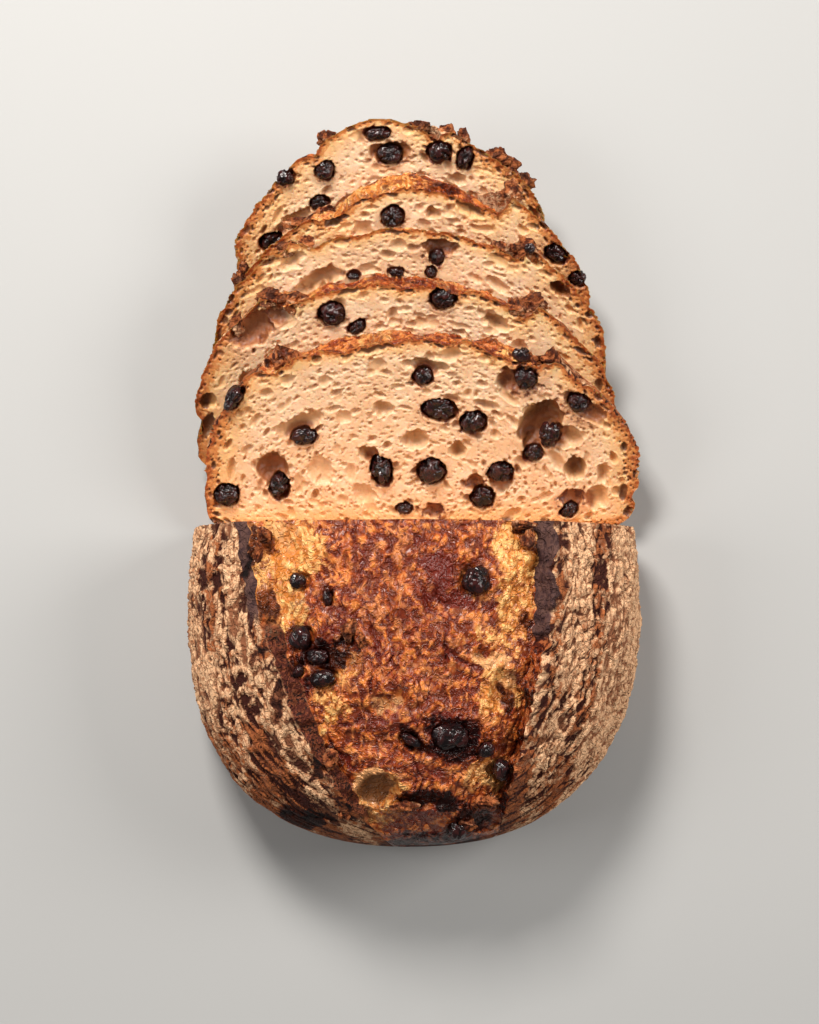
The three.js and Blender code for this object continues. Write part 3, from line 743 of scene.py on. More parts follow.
def skin(s, counts, ovals=()):
    """Rows of outlines at each s, from the left girth over the dome and back underneath."""
    s = np.asarray(s, float)[:, None]
    share = ear_share(s)
    out = {-1: EAR_LAID_OUT * share, 1: EAR_LAID_OUT * ease(s, *RIGHT_EAR_LEANS)}
    uneven = [share * (1.8 * noise(s / 7, z, 0, 63) + 1.1 * noise(s / 2.4, z, 0, 64)) for z in (1, 4, 7, 10)]
    edges = {-1: left_ear_x(s) - out[-1] + 0.5 * uneven[0], 1: right_ear_x(s) + out[1] + 0.5 * uneven[1]}
    crests = {side: dome_point(dome_angle(edges[side], s), s) for side in edges}
    parts = []

    def keep(points, look, **more):
        shape = points.shape[:2]
        full = {name: np.zeros(shape) for name in LOOKS}
        for name, value in {**look, **more}.items():
            full[name] = np.broadcast_to(value, shape)
        parts.append((points, full))

    flanks = {}
    for side in (-1, 1):
        t = np.linspace(0, 1, counts["shoulder"] + 1)[None, :] ** 0.85
        start = np.pi if side < 0 else 0
        angle = start + (dome_angle(edges[side], s) - start) * t
        base = dome_point(angle, s + 0 * t)
        to_edge = np.linalg.norm(base - crests[side], axis=-1)
        from_girth = np.linalg.norm(base - base[:, :1], axis=-1)
        points, look = shoulder(base, s + 0 * t, side, to_edge, from_girth)
        flanks[side] = (points, look, to_edge)
    foot = [left_ear_x(s) + GROOVE_STEP, right_ear_x(s) - GROOVE_STEP + 1]
    foot = [foot[0] + np.maximum(uneven[2], -1.2), foot[1] + np.minimum(uneven[3], 1.2)]
    feet = [dome_angle(x, s) for x in foot]
    t = np.linspace(0, 1, counts["bloom"] + 1)[None, :]
    base = dome_point(feet[0] + (feet[1] - feet[0]) * t, s + 0 * t)
    away = [np.linalg.norm(base - crests[side], axis=-1) for side in (-1, 1)]
    top, top_look = bloom(base, s + 0 * t, *away, ovals)

    points, look, to_edge = flanks[-1]
    keep(points, look, side=-1, edge=to_edge)
    doughy = np.maximum(ease(s, *DOUGHY_WALL), 1 - share)
    inner = ear_wall(points[:, -1], top[:, 0], counts["wall"])
    keep(inner, {"plate": 0.6}, wall=1 - doughy, on_bloom=doughy, side=-1)
    keep(top, top_look, edge=np.minimum(*away))
    points, look, to_edge = flanks[1]
    purple = ease(s, *PURPLE_WALL)
    inner = ear_wall(points[:, -1], top[:, -1], counts["wall"])[:, ::-1]
    keep(inner, {"plate": 0.6}, wall=1, strip=purple, on_bloom=1 - purple, side=1)
    keep(points[:, ::-1], {k: v[:, ::-1] for k, v in look.items()}, side=1, edge=to_edge[:, ::-1])
    shares = np.linspace(0, 1, counts["under"] + 1)[1:-1][None, :]
    points, look = underside(shares, s + 0 * shares)
    keep(points, look, edge=UNDERSIDE_EDGE)
    rows = np.concatenate([p for p, _ in parts], 1)
    looks = {name: np.concatenate([f[name] for _, f in parts], 1) for name in LOOKS}
    return rows, looks


def grid_faces(rows, columns, start=0):
    """Triangles between rows of closed outlines."""
    i, j = np.meshgrid(np.arange(columns), np.arange(rows - 1))
    a = start + j * columns + i
    b = start + j * columns + (i + 1) % columns
    first = np.stack([a, b, a + columns], -1).reshape(-1, 3)
    second = np.stack([b, b + columns, a + columns], -1).reshape(-1, 3)
    return np.concatenate([first, second])


# Cut faces


def is_inside(points, outline):
    x, y = points[:, 0], points[:, 1]
    inside = np.zeros(len(points), bool)
    for (x0, y0), (x1, y1) in zip(outline, np.roll(outline, -1, 0)):
        crosses = (y0 > y) != (y1 > y)
        inside ^= crosses & (x < x0 + (y - y0) * (x1 - x0) / (y1 - y0 if y1 != y0 else 1))
    return inside


def nearest(points, outline):
    best = np.full(len(points), 1e9)
    for x, y in outline:
        best = np.minimum(best, (points[:, 0] - x) ** 2 + (points[:, 1] - y) ** 2)
    return np.sqrt(best)


def fill(outline, inner):
    """Triangles of a flat face, counter-clockwise, by its outline's points and then its inner ones."""
    points = np.concatenate([outline, inner])
    corners = [Vector(p) for p in points.tolist()]
    found = delaunay_2d_cdt(corners, [], [list(range(len(outline)))], 1, 1e-7, False)
    if len(found[0]) != len(points):
        raise ValueError(f"an outline crosses itself: {len(found[0])} points for {len(points)}")
    faces = np.array(found[2])
    middles = points[faces].mean(1)
    on_rim = (faces < len(outline)).all(1)
    keep = ~on_rim
    keep[on_rim] = is_inside(middles[on_rim], outline)
    return faces[keep]


def rim_width(h):
    """How thick the baked crust is at each height: thick on the flanks, thin over the crown."""
    return np.interp(h, (2, 12, 42, 58), (2.6, 4.4, 4.2, 2.0))


# The map of a face: millimetres from point to point, its lower left corner, its rows and columns
MAP_STEP = 0.2
MAP_LOW = np.array([-80.0, -2.0])
MAP_SIZE = (405, 800)


class CrumbMap:
    """How deep the crumb of one face lies at each place, drawn hole by hole."""

    def __init__(self, seed):
        self.seed = seed
        h, x = np.mgrid[0 : MAP_SIZE[0], 0 : MAP_SIZE[1]] * MAP_STEP
        self.x, self.h = x + MAP_LOW[0], h + MAP_LOW[1]
        self.depth = np.zeros(MAP_SIZE)
        self.lip = np.zeros(MAP_SIZE)
        self.stain = np.zeros(MAP_SIZE)
        self.bend = [
            noise(self.x / 2.6, self.h / 2.6, z, seed) + 0.6 * noise(self.x / 1.1, self.h / 1.1, z, seed + 1)
            for z in (0.5, 9.5)
        ]

    def window(self, x, h, size):
        low = np.floor((np.array([x, h]) - MAP_LOW - size) / MAP_STEP).astype(int)
        high = np.ceil((np.array([x, h]) - MAP_LOW + size) / MAP_STEP).astype(int)
        return (slice(max(low[1], 0), max(high[1], 0)), slice(max(low[0], 0), max(high[0], 0)))

    def inside(self, at, bend, oval):
        """Where each place of a window lies in an oval whose outline is uneven by this much."""
        x = self.x[at] + bend * self.bend[0][at]
        h = self.h[at] + bend * self.bend[1][at]
        return inside_oval(x, h, oval)

    def dig(self, x, h, length, height, turn, depth, steep=0.5, wobble=0.32):
        at = self.window(x, h, 0.8 * max(length, height) + 0.5)
        bend = wobble * min(min(length, height), 5) * 0.5
        q = self.inside(at, bend, (x, h, length, height, turn))
        self.depth[at] = np.maximum(self.depth[at], depth * np.clip(1 - q, 0, 1) ** steep)
        lip = min(0.16 * depth, 0.3) * np.exp(-(((q - 1.25) / 0.35) ** 2))
        self.lip[at] = np.maximum(self.lip[at], lip)

    def tint(self, x, h, length, height, turn, strength):
        at = self.window(x, h, max(length, height) * 1.3)
        q = self.inside(at, 0.9, (x, h, length, height, turn))
        self.stain[at] = np.maximum(self.stain[at], strength * (1 - ease(q, 0.3, 2.0)))

    def bubbles(self, outline, spacing, share, radii, seed, deep, long, rim=False):
        """Scattered gas bubbles, longest along the crust. A rim's lie only close to the crust."""
        small, large = radii
        rng = np.random.default_rng(self.seed + seed)
        gx, gh = np.meshgrid(np.arange(-79, 79, spacing), np.arange(0, 77, spacing))
        spots = np.stack([gx.ravel(), gh.ravel()], 1) + rng.uniform(-0.5, 0.5, (gx.size, 2)) * spacing
        loose = 0.5 + 0.5 * noise(spots[:, 0] / 11, spots[:, 1] / 8, 0.5, self.seed + 3)
        keep = (rng.random(len(spots)) < share * (0.3 + 1.4 * loose)) & is_inside(spots, outline)
        spots = spots[keep]
        if rim:
            spots = spots[nearest(spots, outline) < rim_width(spots[:, 1])]
        for x, h in spots:
            radius = small + (large - small) * rng.random() ** 2.2
            stretch = 1.15 + long * rng.random() ** 1.6 * (0.4 + 0.6 * min(h / 45, 1))
            along = math.atan2(-x / FLOW_ACROSS * 1.15, (h - FLOW_MIDDLE) / FLOW_UP)
            turn = math.degrees(along) + rng.normal(0, 13)
            turn = turn if h > FLOW_MIDDLE else -turn * 0.3
            size = 2 * radius * math.sqrt(stretch), 2 * radius / math.sqrt(stretch)
            self.dig(x, h, *size, turn, deep * radius * (0.6 + 0.6 * rng.random()), 0.35 + 0.4 * rng.random())

    def read(self, layer, points):
        """A layer's values at points, smooth between those of the map."""
        place = (points - MAP_LOW) / MAP_STEP
        i = np.clip(np.floor(place).astype(int), 0, np.array([MAP_SIZE[1] - 2, MAP_SIZE[0] - 2]))
        t = place - i
        rows = layer[i[:, 1], i[:, 0]] * (1 - t[:, 0]) + layer[i[:, 1], i[:, 0] + 1] * t[:, 0]
        above = layer[i[:, 1] + 1, i[:, 0]] * (1 - t[:, 0]) + layer[i[:, 1] + 1, i[:, 0] + 1] * t[:, 0]
        return rows * (1 - t[:, 1]) + above * t[:, 1]


def face_points(outline, s, fine, coarse, shown):
    """Points inside a face: close together where it shows and far apart where the next slice lies on it."""
    low, high = outline.min(0), outline.max(0)
    rows = np.arange(low[1], high[1], fine * 0.866)
    columns = np.arange(low[0], high[0], fine)
    x, h = np.meshgrid(columns, rows)
    x = x + (np.arange(len(rows)) % 2)[:, None] * fine / 2
    every = max(1, round(coarse / fine))
    sparse = (np.arange(len(rows)) % every == 0)[:, None] & (np.arange(len(columns)) % every == 0)[None, :]
    keep = (h > dome_height(x, s) - shown) | sparse
    points = np.stack([x[keep], h[keep]], 1)
    points = points[is_inside(points, outline)]
    away = nearest(points, outline)
    return points[away > 0.3 * fine + 0.15], away[away > 0.3 * fine + 0.15]


# Laying out


def within_box(p):
    """Relief that would stand out of the frame's box lies back against it."""
    return np.clip(p, 1000 * np.array(cad_box[0]), 1000 * np.array(cad_box[1]))


def half_lean(y, z):
    """How far the whole half's cut overhangs, dying away along it."""
    return CUT_LEAN * z * np.maximum(0, 1 + y / LEAN_LENGTH)


def lay_half(p):
    """From the loaf's own millimetres to the frame's."""
    out = np.array(p, float)
    out[..., 1] += half_lean(p[..., 1], p[..., 2])
    out = out + np.array([HALF_X, CUT_Y, 0]) - MIDDLE
    return within_box(out)


def unlay_half(p):
    """The other way round, by steps that come closer."""
    out = np.array(p, float) + MIDDLE - np.array([HALF_X, CUT_Y, 0])
    goal = out[..., 1].copy()
    for _ in range(12):
        out[..., 1] = goal - half_lean(out[..., 1], out[..., 2])
    return out


class Lean:
    """Leans a piece back on the stack, with its lower edge on the table."""

    def __init__(self, index, x, turn):
        c, s = math.cos(math.radians(turn)), math.sin(math.radians(turn))
        ct, st = math.cos(TILT), math.sin(TILT)
        self.front = index * PITCH
        self.turn = np.array([[c, 0, -s], [s * ct, st, c * ct], [s * st, -ct, c * st]])
        self.at = np.array([x, *STANDS[index]]) - MIDDLE

    def __call__(self, p):
        return within_box((p - np.array([0, self.front, 0])) @ self.turn.T + self.at)

    def back(self, p):
        return (p - self.at) @ self.turn + np.array([0, self.front, 0])


def cad_points(cad_node):
    """A node's points as the frame has them, in millimetres."""
    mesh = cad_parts[cad_node].data
    points = np.empty(len(mesh.vertices) * 3, np.float32)
    mesh.vertices.foreach_get("co", points)
    return points.reshape(-1, 3).astype(float) * 1000


def raisins_of(owner):
    return sorted(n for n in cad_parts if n.startswith(f"raisin_{owner}_"))


def oval_of(points, gap):
    """The oval round flat points: middle, length, height and turn."""
    middle = (points.max(0) + points.min(0)) / 2
    axes = np.linalg.svd(points - points.mean(0), full_matrices=False)[2]
    sizes = [np.ptp(points @ a) + 2 * gap for a in axes]
    return (*middle, sizes[0], sizes[1], math.degrees(math.atan2(axes[0][1], axes[0][0])))


def build(name, points, faces, looks, materials, material_of, rim=0):
    """A closed mesh in the row frame, from millimetres. The first points, rim of them, make a hard edge."""
    mesh = bpy.data.meshes.new(name)
    mesh.vertices.add(len(points))
    mesh.vertices.foreach_set("co", (points * 0.001).astype(np.float32).ravel())
    mesh.loops.add(3 * len(faces))
    mesh.loops.foreach_set("vertex_index", faces.astype(np.int32).ravel())
    mesh.polygons.add(len(faces))
    mesh.polygons.foreach_set("loop_start", np.arange(0, 3 * len(faces), 3, dtype=np.int32))
    mesh.polygons.foreach_set("material_index", material_of.astype(np.int32))
    mesh.polygons.foreach_set("use_smooth", np.ones(len(faces), bool))
    mesh.update(calc_edges=True)
    for key, values in looks.items():
        kind, part = ("FLOAT_VECTOR", "vector") if values.ndim == 2 else ("FLOAT", "value")
        layer = mesh.attributes.new(key, kind, "POINT")
        layer.data.foreach_set(part, values.astype(np.float32).ravel())
    if rim:
        ends = np.empty(2 * len(mesh.edges), np.int32)
        mesh.edges.foreach_get("vertices", ends)
        hard = (ends.reshape(-1, 2) < rim).all(1)
        mesh.attributes.new("sharp_edge", "BOOLEAN", "EDGE").data.foreach_set("value", hard)
    for material in materials:
        mesh.materials.append(material)
    piece = bpy.data.objects.new(name, mesh)
    bpy.context.scene.collection.objects.link(piece)
    return piece


# The pieces of bread

CUT_OWNERS = (*(f"slice{i + 1}" for i in range(SLICES)), "end")
# How close the points of each face lie, and how far down from the crown they lie so close
FACE_FINE = (0.4, 0.44, 0.44, 0.44, 0.44)
FACE_SHOWN = (90, 30, 30, 30, 34)
HALF_FACE_FINE = 0.9
WHOLE_FACE = 90
COARSE = 2.2
BACK_FINE = 3.2
DEEP_INSIDE = 9  # stands for the distance to the crust, in widths of the baked rim, on a plain back


def crumb_of(outline, seed, holes=(), stains=(), pockets=()):
    """The map of one cut face."""
    crumb = CrumbMap(seed)
    for kind in BUBBLES:
        crumb.bubbles(outline, **kind)
    for x, h, length, height, turn, depth in holes:
        crumb.dig(x, h, length, height, turn, depth, 0.5, 0.5)
    for oval, depth in pockets:
        crumb.dig(*oval, depth, 0.3, 0.2)
        x, h, length, height, turn = oval
        crumb.tint(x, h, length * 1.4, height * 1.5, turn, 0.8)
        crumb.tint(x, h, length * 1.04, height * 1.04, turn, 1.7)
    for stain in stains:
        crumb.tint(*stain)
    return crumb


def face_mesh(outline, s, inward, fine, shown, crumb):
    """Triangles and points of a cut face, with what its finish needs to know."""
    flat, away = face_points(outline, s, fine, COARSE, shown)
    depth = crumb.read(crumb.depth, flat)
    rough = 0.12 * layered(flat[:, 0] / 1.5, flat[:, 1] / 1.5, 0.5, crumb.seed + 5)
    lip = crumb.read(crumb.lip, flat) * (1 - ease(depth, 0.02, 0.2))
    sunk = (np.maximum(depth + rough + 0.35, 0) - lip) * ease(away, 0.1, 1.0)
    points = np.stack([flat[:, 0], s + inward * sunk, flat[:, 1]], 1)
    looks = {"depth": depth, "rim": away / rim_width(flat[:, 1]), "stain": crumb.read(crumb.stain, flat)}
    return fill(outline, flat), points, looks


# Flour on each flank of the half: distances from the ear, and how floured it is there
LEFT_FLOUR = ((0, 3, 4.5, 11, 14, 19, 24, 45), (0.5, 0.6, 1.05, 0.95, 0.4, 0.3, 0.6, 0.65))
RIGHT_FLOUR = ((0, 2, 3.5, 5.5, 15, 18, 23, 26, 45), (0.5, 0.3, 0.2, 0.8, 0.75, 0.3, 0.4, 1.15, 1.15))


def ring_noise(p, size, seed):
    return noise(p[..., 0] / size, p[..., 1] / size, p[..., 2] / size, seed)


def crust_looks(rows, looks, on_half):
    """How floured, golden, burnt or stained the crust is at each point."""
    x, s, z = rows[..., 0], rows[..., 1], rows[..., 2]
    side, edge, on_bloom, wall = looks["side"], looks["edge"], looks["on_bloom"], looks["wall"]
    left, right = np.interp(edge, *LEFT_FLOUR), np.interp(edge, *RIGHT_FLOUR)
    flour = np.where(side < 0, left, right) if on_half else 0.3 + 0 * left
    flour = np.where(edge >= UNDERSIDE_EDGE, 0.4, flour) - 0.45 * ease(-s, 60, 88)
    flour = flour + 0.4 * noise(x / 7, s / 17, z / 7, 71) + 0.2 * looks["tone"]
    made = {key: looks[key] for key in ("plate", "on_bloom", "dug")}
    made["wall"] = wall * (1 if on_half else 0.5)
    made["strip"] = looks["strip"] * (1 if on_half else 0)
    made["flour"] = np.clip(flour, 0, 1) * (1 - on_bloom)
    if on_half:
        drawn = {"golden": (GOLDEN, 72), "pale": (PALE, 74), "burnt": (BURNT, 76), "juice_and_fold_shade": (JUICE, 78)}
        lowest = np.where(side == 0, 6, 24)
        for key, (ovals, seed) in drawn.items():
            made[key] = patches(x, s, ovals, seed) * ease(z - lowest, 0, 16)
    else:
        made["golden"] = 0.75 * ease(ring_noise(rows, 15, 72) + 0.3 * (x < 0), -0.15, 0.95)
        made["pale"] = 0 * x
        made["burnt"] = ease(ring_noise(rows, 7, 76), 0.4, 0.9) * 0.6
        made["juice_and_fold_shade"] = ease(ring_noise(rows, 14, 78), 0.0, 0.7) * 0.55
    tanned = (0.65 if on_half else 0.3) * wall
    # Juice stains, and darker lines along the folds of the bloom that are partly the crust's own colour and
    # partly painted shade in the fold grooves
    made["juice_and_fold_shade"] = np.maximum(made["juice_and_fold_shade"] * (1 - wall), np.maximum(0.9 * looks["fold"], tanned))
    # The bloom is burnt along the torn edges
    patchy = 0.35 + 0.65 * ease(noise(s / 6, side, 0, 79), -0.4, 0.5)
    singed = 0.9 * patchy * np.exp(-edge / 1.6) * on_bloom * ear_share(s)
    made["burnt"] = np.maximum(made["burnt"] * (1 - wall), singed)
    return made


def bread(name, owner, s_rows, counts, face, fine, shown, lay, ovals=(), tip=None):
    """One piece of the loaf as a closed mesh: its crust, its cut face, and its tip or back."""
    rows, looks = skin(s_rows, counts, ovals)
    count = rows.shape[1]
    crust_size = rows.shape[0] * count
    last = crust_size - count
    backwards = s_rows[-1] < s_rows[0]

    outline = rows[0][:, [0, 2]]
    crumb = crumb_of(outline, **face)
    inward = -1 if backwards else 1
    front, inner, face_looks = face_mesh(outline, s_rows[0], inward, fine, shown, crumb)
    front = np.where(front >= count, front - count + crust_size, front)
    after = crust_size + len(inner)
    points = [rows.reshape(-1, 3), inner]
    crust = [grid_faces(len(s_rows), count)]
    if tip is None:
        back_outline = rows[-1][:, [0, 2]]
        flat, _ = face_points(back_outline, s_rows[-1], BACK_FINE, BACK_FINE, WHOLE_FACE)
        back = fill(back_outline, flat)
        back = np.where(back >= count, back - count + after, back + last)[:, ::-1]
        points.append(np.stack([flat[:, 0], 0 * flat[:, 0] + s_rows[-1], flat[:, 1]], 1))
    else:
        i = np.arange(count)
        crust.append(np.stack([last + i, last + (i + 1) % count, 0 * i + after], 1))
        points.append(np.array([tip]))
        back = np.zeros((0, 3), int)
    crust = np.concatenate(crust)
    if backwards:
        crust = crust[:, ::-1]
        front = front[:, ::-1]
    points = np.concatenate(points)

    made = crust_looks(rows, looks, owner == "half")
    attributes = {key: np.zeros(len(points)) for key in (*made, "depth", "rim", "stain")}
    for key, values in made.items():
        attributes[key][:crust_size] = values.reshape(-1)
    attributes["rim"][crust_size:] = DEEP_INSIDE
    for key, values in face_looks.items():
        attributes[key][crust_size:after] = values

    for flake_points, flake_faces, flake_looks in crags_of(owner, s_rows[0], outline):
        crust = np.concatenate([crust, flake_faces + len(points)])
        points = np.concatenate([points, flake_points])
        for key in attributes:
            more = flake_looks.get(key, np.zeros(len(flake_points)))
            attributes[key] = np.concatenate([attributes[key], more])
    attributes["place"] = points.copy()
    every = np.concatenate([crust, front, back])
    in_crumb = np.arange(len(every)) >= len(crust)
    print(name, len(every), "triangles")
    return build(name, lay(points), every, attributes, (CRUST, CRUMB), in_crumb, count)


def face_pockets(owner, lay, front):
    """The pockets round the raisins of a face, from where the frame has them."""
    found = []
    for cad_node in raisins_of(owner):
        p = lay.back(cad_points(cad_node))
        found.append((oval_of(p[:, [0, 2]], 0.55), min(p[:, 1].max() - front + 0.4, 8.5)))
    return found


def crust_pockets():
    """The pockets round the raisins of the half's bloom."""
    found = []
    for cad_node in raisins_of("half"):
        p = unlay_half(cad_points(cad_node))
        found.append((*oval_of(p[:, :2], 0.5), 2.6))
    return found


RAISIN_BALL = (26, 40)  # rings and sides
CRAG_BALL = (18, 30)
RAISIN_RADIUS = 5.5  # larger raisins have finer folds
RAISIN_FOLD = {"half": 0.15, "cut": 0.36}  # how deep, as a share of the radius


def ball(rows, columns):
    """Directions all round, and the triangles between them."""
    polar = np.linspace(0, np.pi, rows + 1)[1:-1]
    turn = np.arange(columns) / columns * 2 * np.pi
    polar, turn = np.meshgrid(polar, turn, indexing="ij")
    d = np.stack([np.sin(polar) * np.cos(turn), np.sin(polar) * np.sin(turn), np.cos(polar)], -1)
    d = np.concatenate([d.reshape(-1, 3), [[0, 0, 1], [0, 0, -1]]])
    count = (rows - 1) * columns
    i = np.arange(columns)
    top = np.stack([0 * i + count, (i + 1) % columns, i], 1)
    low = (rows - 2) * columns
    bottom = np.stack([0 * i + count + 1, low + i, low + (i + 1) % columns], 1)
    faces = np.concatenate([grid_faces(rows - 1, columns), top, bottom])[:, ::-1]
    return d, faces


def bend_of(d, size, seed):
    """Noise in all three directions."""
    return np.stack([noise(*(d * size + k).T, seed) for k in (0, 7, 13)], -1)


def raisin(cad_node, seed):
    """A wrinkled raisin where the frame has one."""
    points = cad_points(cad_node)
    axes = np.linalg.svd(points - points.mean(0), full_matrices=False)[2]
    spans = points @ axes.T
    half = np.ptp(spans, axis=0) / 2
    middle = (spans.max(0) + spans.min(0)) / 2 @ axes
    d, faces = ball(*RAISIN_BALL)
    bent_d = d + bend_of(d, 1.7, seed) * 0.35
    finer = max(1, half.max() / RAISIN_RADIUS)
    fold = RAISIN_FOLD["half" if cad_node.startswith("raisin_half") else "cut"]
    big = np.abs(noise(*(bent_d * 1.6 * finer).T, seed + 1))
    small = np.abs(noise(*(bent_d * 3.6 * finer).T, seed + 2))
    reach = 1.02 - fold / finer * (1 - ease(big, 0, 0.34)) - 0.08 * (1 - ease(small, 0, 0.3))
    reach = reach + 0.15 * noise(*(d * 1.4).T, seed + 3)
    skin_points = within_box(middle + (d * reach[:, None] * half) @ axes)
    if np.linalg.det(axes) < 0:
        faces = faces[:, ::-1]
    # Where the folds lie, for painted shade in them
    crease_shade = np.minimum(ease(big, 0, 0.3), 0.4 + 0.6 * ease(small, 0, 0.3))
    looks = {"crease_shade": crease_shade, "place": skin_points}
    return build(cad_node + "_fruit", skin_points, faces, looks, (RAISIN,), np.zeros(len(faces)))


def crag(middle, size, seed):
    """A crumpled flake of browned crust."""
    d, faces = ball(*CRAG_BALL)
    bend = bend_of(d, 1.2, seed) * 0.45
    fold = np.clip(1 - 2.0 * np.abs(noise(*((d + bend) * 1.4).T, seed + 1)), 0, 1)
    reach = 0.62 + 0.5 * fold + 0.2 * noise(*((d + bend) * 2.6).T, seed + 2)
    looks = {
        "plate": 0.35 + 0.65 * fold,
        "flour": 0.1 + 0.5 * fold * ease(noise(*(d * 2).T, seed + 3), -0.4, 0.5),
        "burnt": 0.55 * ease(d[:, 2] + 0.8 * noise(*(d * 2 + 5).T, seed + 3), -0.4, 0.8),
    }
    return np.array(middle) + (d * reach[:, None] + 0.35 * bend) * np.array(size) / 2, faces, looks


def crags_of(owner, front, outline):
    """The flakes on one piece, in the loaf's own millimetres, each with its foot in the crust."""
    if owner == "half":
        for i, (x, s, width, length) in enumerate(HALF_CRAGS):
            z = dome_point(dome_angle(x, s), s)[..., 2].item()
            yield crag((x, s, z), (width, length, CRAG_RISE), 500 + 5 * i)
        return
    index = CUT_OWNERS.index(owner)
    for i, (x, h, width, height) in enumerate(CRAGS[index]):
        foot = outline[np.argmin(np.hypot(outline[:, 0] - x, outline[:, 1] - h))] * (0.985, 0.98)
        size = (1.25 * width, CRAG_LENGTH, 1.2 * height)
        yield crag((foot[0], front + CRAG_BACK, foot[1]), size, 600 + 50 * index + 5 * i)


# Finishes


def node(tree, kind, inputs=None, **settings):
    """A shader node with its settings and inputs. An input is a value or another node's output."""
    made = tree.nodes.new(kind)
    for key, value in settings.items():
        setattr(made, key, value)
    for key, value in (inputs or {}).items():
        socket = made.inputs[key]
        if isinstance(value, bpy.types.NodeSocket):
            tree.links.new(value, socket)
        else:
            socket.default_value = value
    return made


def mix(tree, share, first, second, blend="MIX"):
    """One colour over another. Either may be a linear colour or an output."""
    made = node(tree, "ShaderNodeMix", data_type="RGBA", blend_type=blend, clamp_factor=True)
    for index, value in ((0, share), (6, first), (7, second)):
        if isinstance(value, bpy.types.NodeSocket):
            tree.links.new(value, made.inputs[index])
        elif index:
            made.inputs[index].default_value = (*value, 1)
        else:
            made.inputs[index].default_value = value
    return made.outputs[2]


def math_node(tree, operation, first, second=0.0):
    made = node(tree, "ShaderNodeMath", operation=operation)
    for index, value in ((0, first), (1, second)):
        if isinstance(value, bpy.types.NodeSocket):
            tree.links.new(value, made.inputs[index])
        else:
            made.inputs[index].default_value = value
    return made.outputs[0]


def part_of(tree, value, amount):
    return math_node(tree, "MULTIPLY", value, amount)


def broken(tree, value, flecks, amount):
    """The value with its edges broken up by flecks."""
    return math_node(tree, "ADD", value, part_of(tree, math_node(tree, "SUBTRACT", flecks, 0.5), amount))


def step(tree, value, low, high):
    """0 below low and 1 above high, smooth between."""
    made = node(tree, "ShaderNodeMapRange", {"Value": value, "From Min": low, "From Max": high})
    made.interpolation_type = "SMOOTHSTEP"
    return made.outputs["Result"]


def field(tree, name, vector=False):
    made = node(tree, "ShaderNodeAttribute", attribute_name=name)
    return made.outputs["Vector" if vector else "Fac"]


def use(tree, group, place, size):
    """The outputs of a pattern at places on the surface, with grain of this size."""
    made = tree.nodes.new("ShaderNodeGroup")
    made.node_tree = group
    tree.links.new(place, made.inputs["Place"])
    made.inputs["Size"].default_value = size
    return made.outputs


def pattern(name, *outputs):
    """A group with a place and a grain size in, and values out: its tree, the scaled place, the outputs."""
    tree = bpy.data.node_groups.new(name, "ShaderNodeTree")
    tree.interface.new_socket("Place", in_out="INPUT", socket_type="NodeSocketVector")
    tree.interface.new_socket("Size", in_out="INPUT", socket_type="NodeSocketFloat")
    for label in outputs:
        tree.interface.new_socket(label, in_out="OUTPUT", socket_type="NodeSocketFloat")
    given = tree.nodes.new("NodeGroupInput").outputs
    made = tree.nodes.new("NodeGroupOutput").inputs
    scaled = node(tree, "ShaderNodeVectorMath", {0: given["Place"]}, operation="SCALE")
    tree.links.new(math_node(tree, "DIVIDE", 1.0, given["Size"]), scaled.inputs["Scale"])
    return tree, scaled.outputs[0], made


def grain_of(tree, place, **settings):
    """A noise texture at a place, with its settings by the names of its sockets."""
    return node(tree, "ShaderNodeTexNoise", {"Vector": place, **settings}).outputs


def mottling():
    """Uneven baking: a soft mask with finer flecks over it."""
    tree, place, made = pattern("mottling", "Mask")
    wave = grain_of(tree, place, Scale=1.0, Detail=4.0, Roughness=0.62)["Fac"]
    tree.links.new(step(tree, wave, 0.36, 0.64), made["Mask"])
    return tree


def fine_pores():
    """Small pits and grain for the bump of a surface, with a mask of the pits for painted shade in them."""
    tree, place, made = pattern("fine pores", "Height", "Pits")
    warp = grain_of(tree, place, Scale=0.8, Detail=2.0)["Color"]
    bent_place = node(tree, "ShaderNodeVectorMath", {0: place, 1: warp}, operation="ADD").outputs[0]
    cell = node(tree, "ShaderNodeTexVoronoi", {"Vector": bent_place, "Scale": 1.0})
    pits = step(tree, cell.outputs["Distance"], 0.36, 0.12)
    grain = grain_of(tree, place, Scale=2.3, Detail=3.0)["Fac"]
    tree.links.new(math_node(tree, "SUBTRACT", part_of(tree, grain, 0.6), pits), made["Height"])
    tree.links.new(pits, made["Pits"])
    return tree


def blistering():
    """Fine twisting ridges, with a mask of the creases between them, which the bloom fills with painted
    shade.
    """
    tree, place, made = pattern("blistering", "Height", "Creases")
    wave = grain_of(tree, place, Scale=0.55, Detail=1.5, Distortion=0.9)["Fac"]
    away = math_node(tree, "ABSOLUTE", math_node(tree, "SUBTRACT", wave, 0.5))
    tree.links.new(step(tree, away, 0.11, 0.0), made["Height"])
    tree.links.new(step(tree, away, 0.07, 0.14), made["Creases"])
    return tree


MOTTLING = mottling()
FINE_PORES = fine_pores()
BLISTERING = blistering()

# Colours of the burst top, in linear light
BAKED = (0.52, 0.105, 0.016)
DARK_BAKED = (0.31, 0.045, 0.010)
TAN = (0.80, 0.30, 0.10)
# Painted highlight on the bloom's raised ridges
RIDGE_HIGHLIGHT = (0.88, 0.29, 0.055)
# Painted shade in the creases and seams between the blisters
CREASE_SHADE = (0.11, 0.013, 0.005)
# Painted shade in the fine creases of the bump pattern
FINE_CREASE_SHADE = (0.17, 0.026, 0.007)
# Golden crust as a shaded copy and a lit copy, and painted shade in its fine creases
SHADED_GOLD = (0.66, 0.21, 0.035)
GOLD_HIGHLIGHT = (1.0, 0.56, 0.19)
GOLD_CREASE_SHADE = (0.60, 0.18, 0.03)
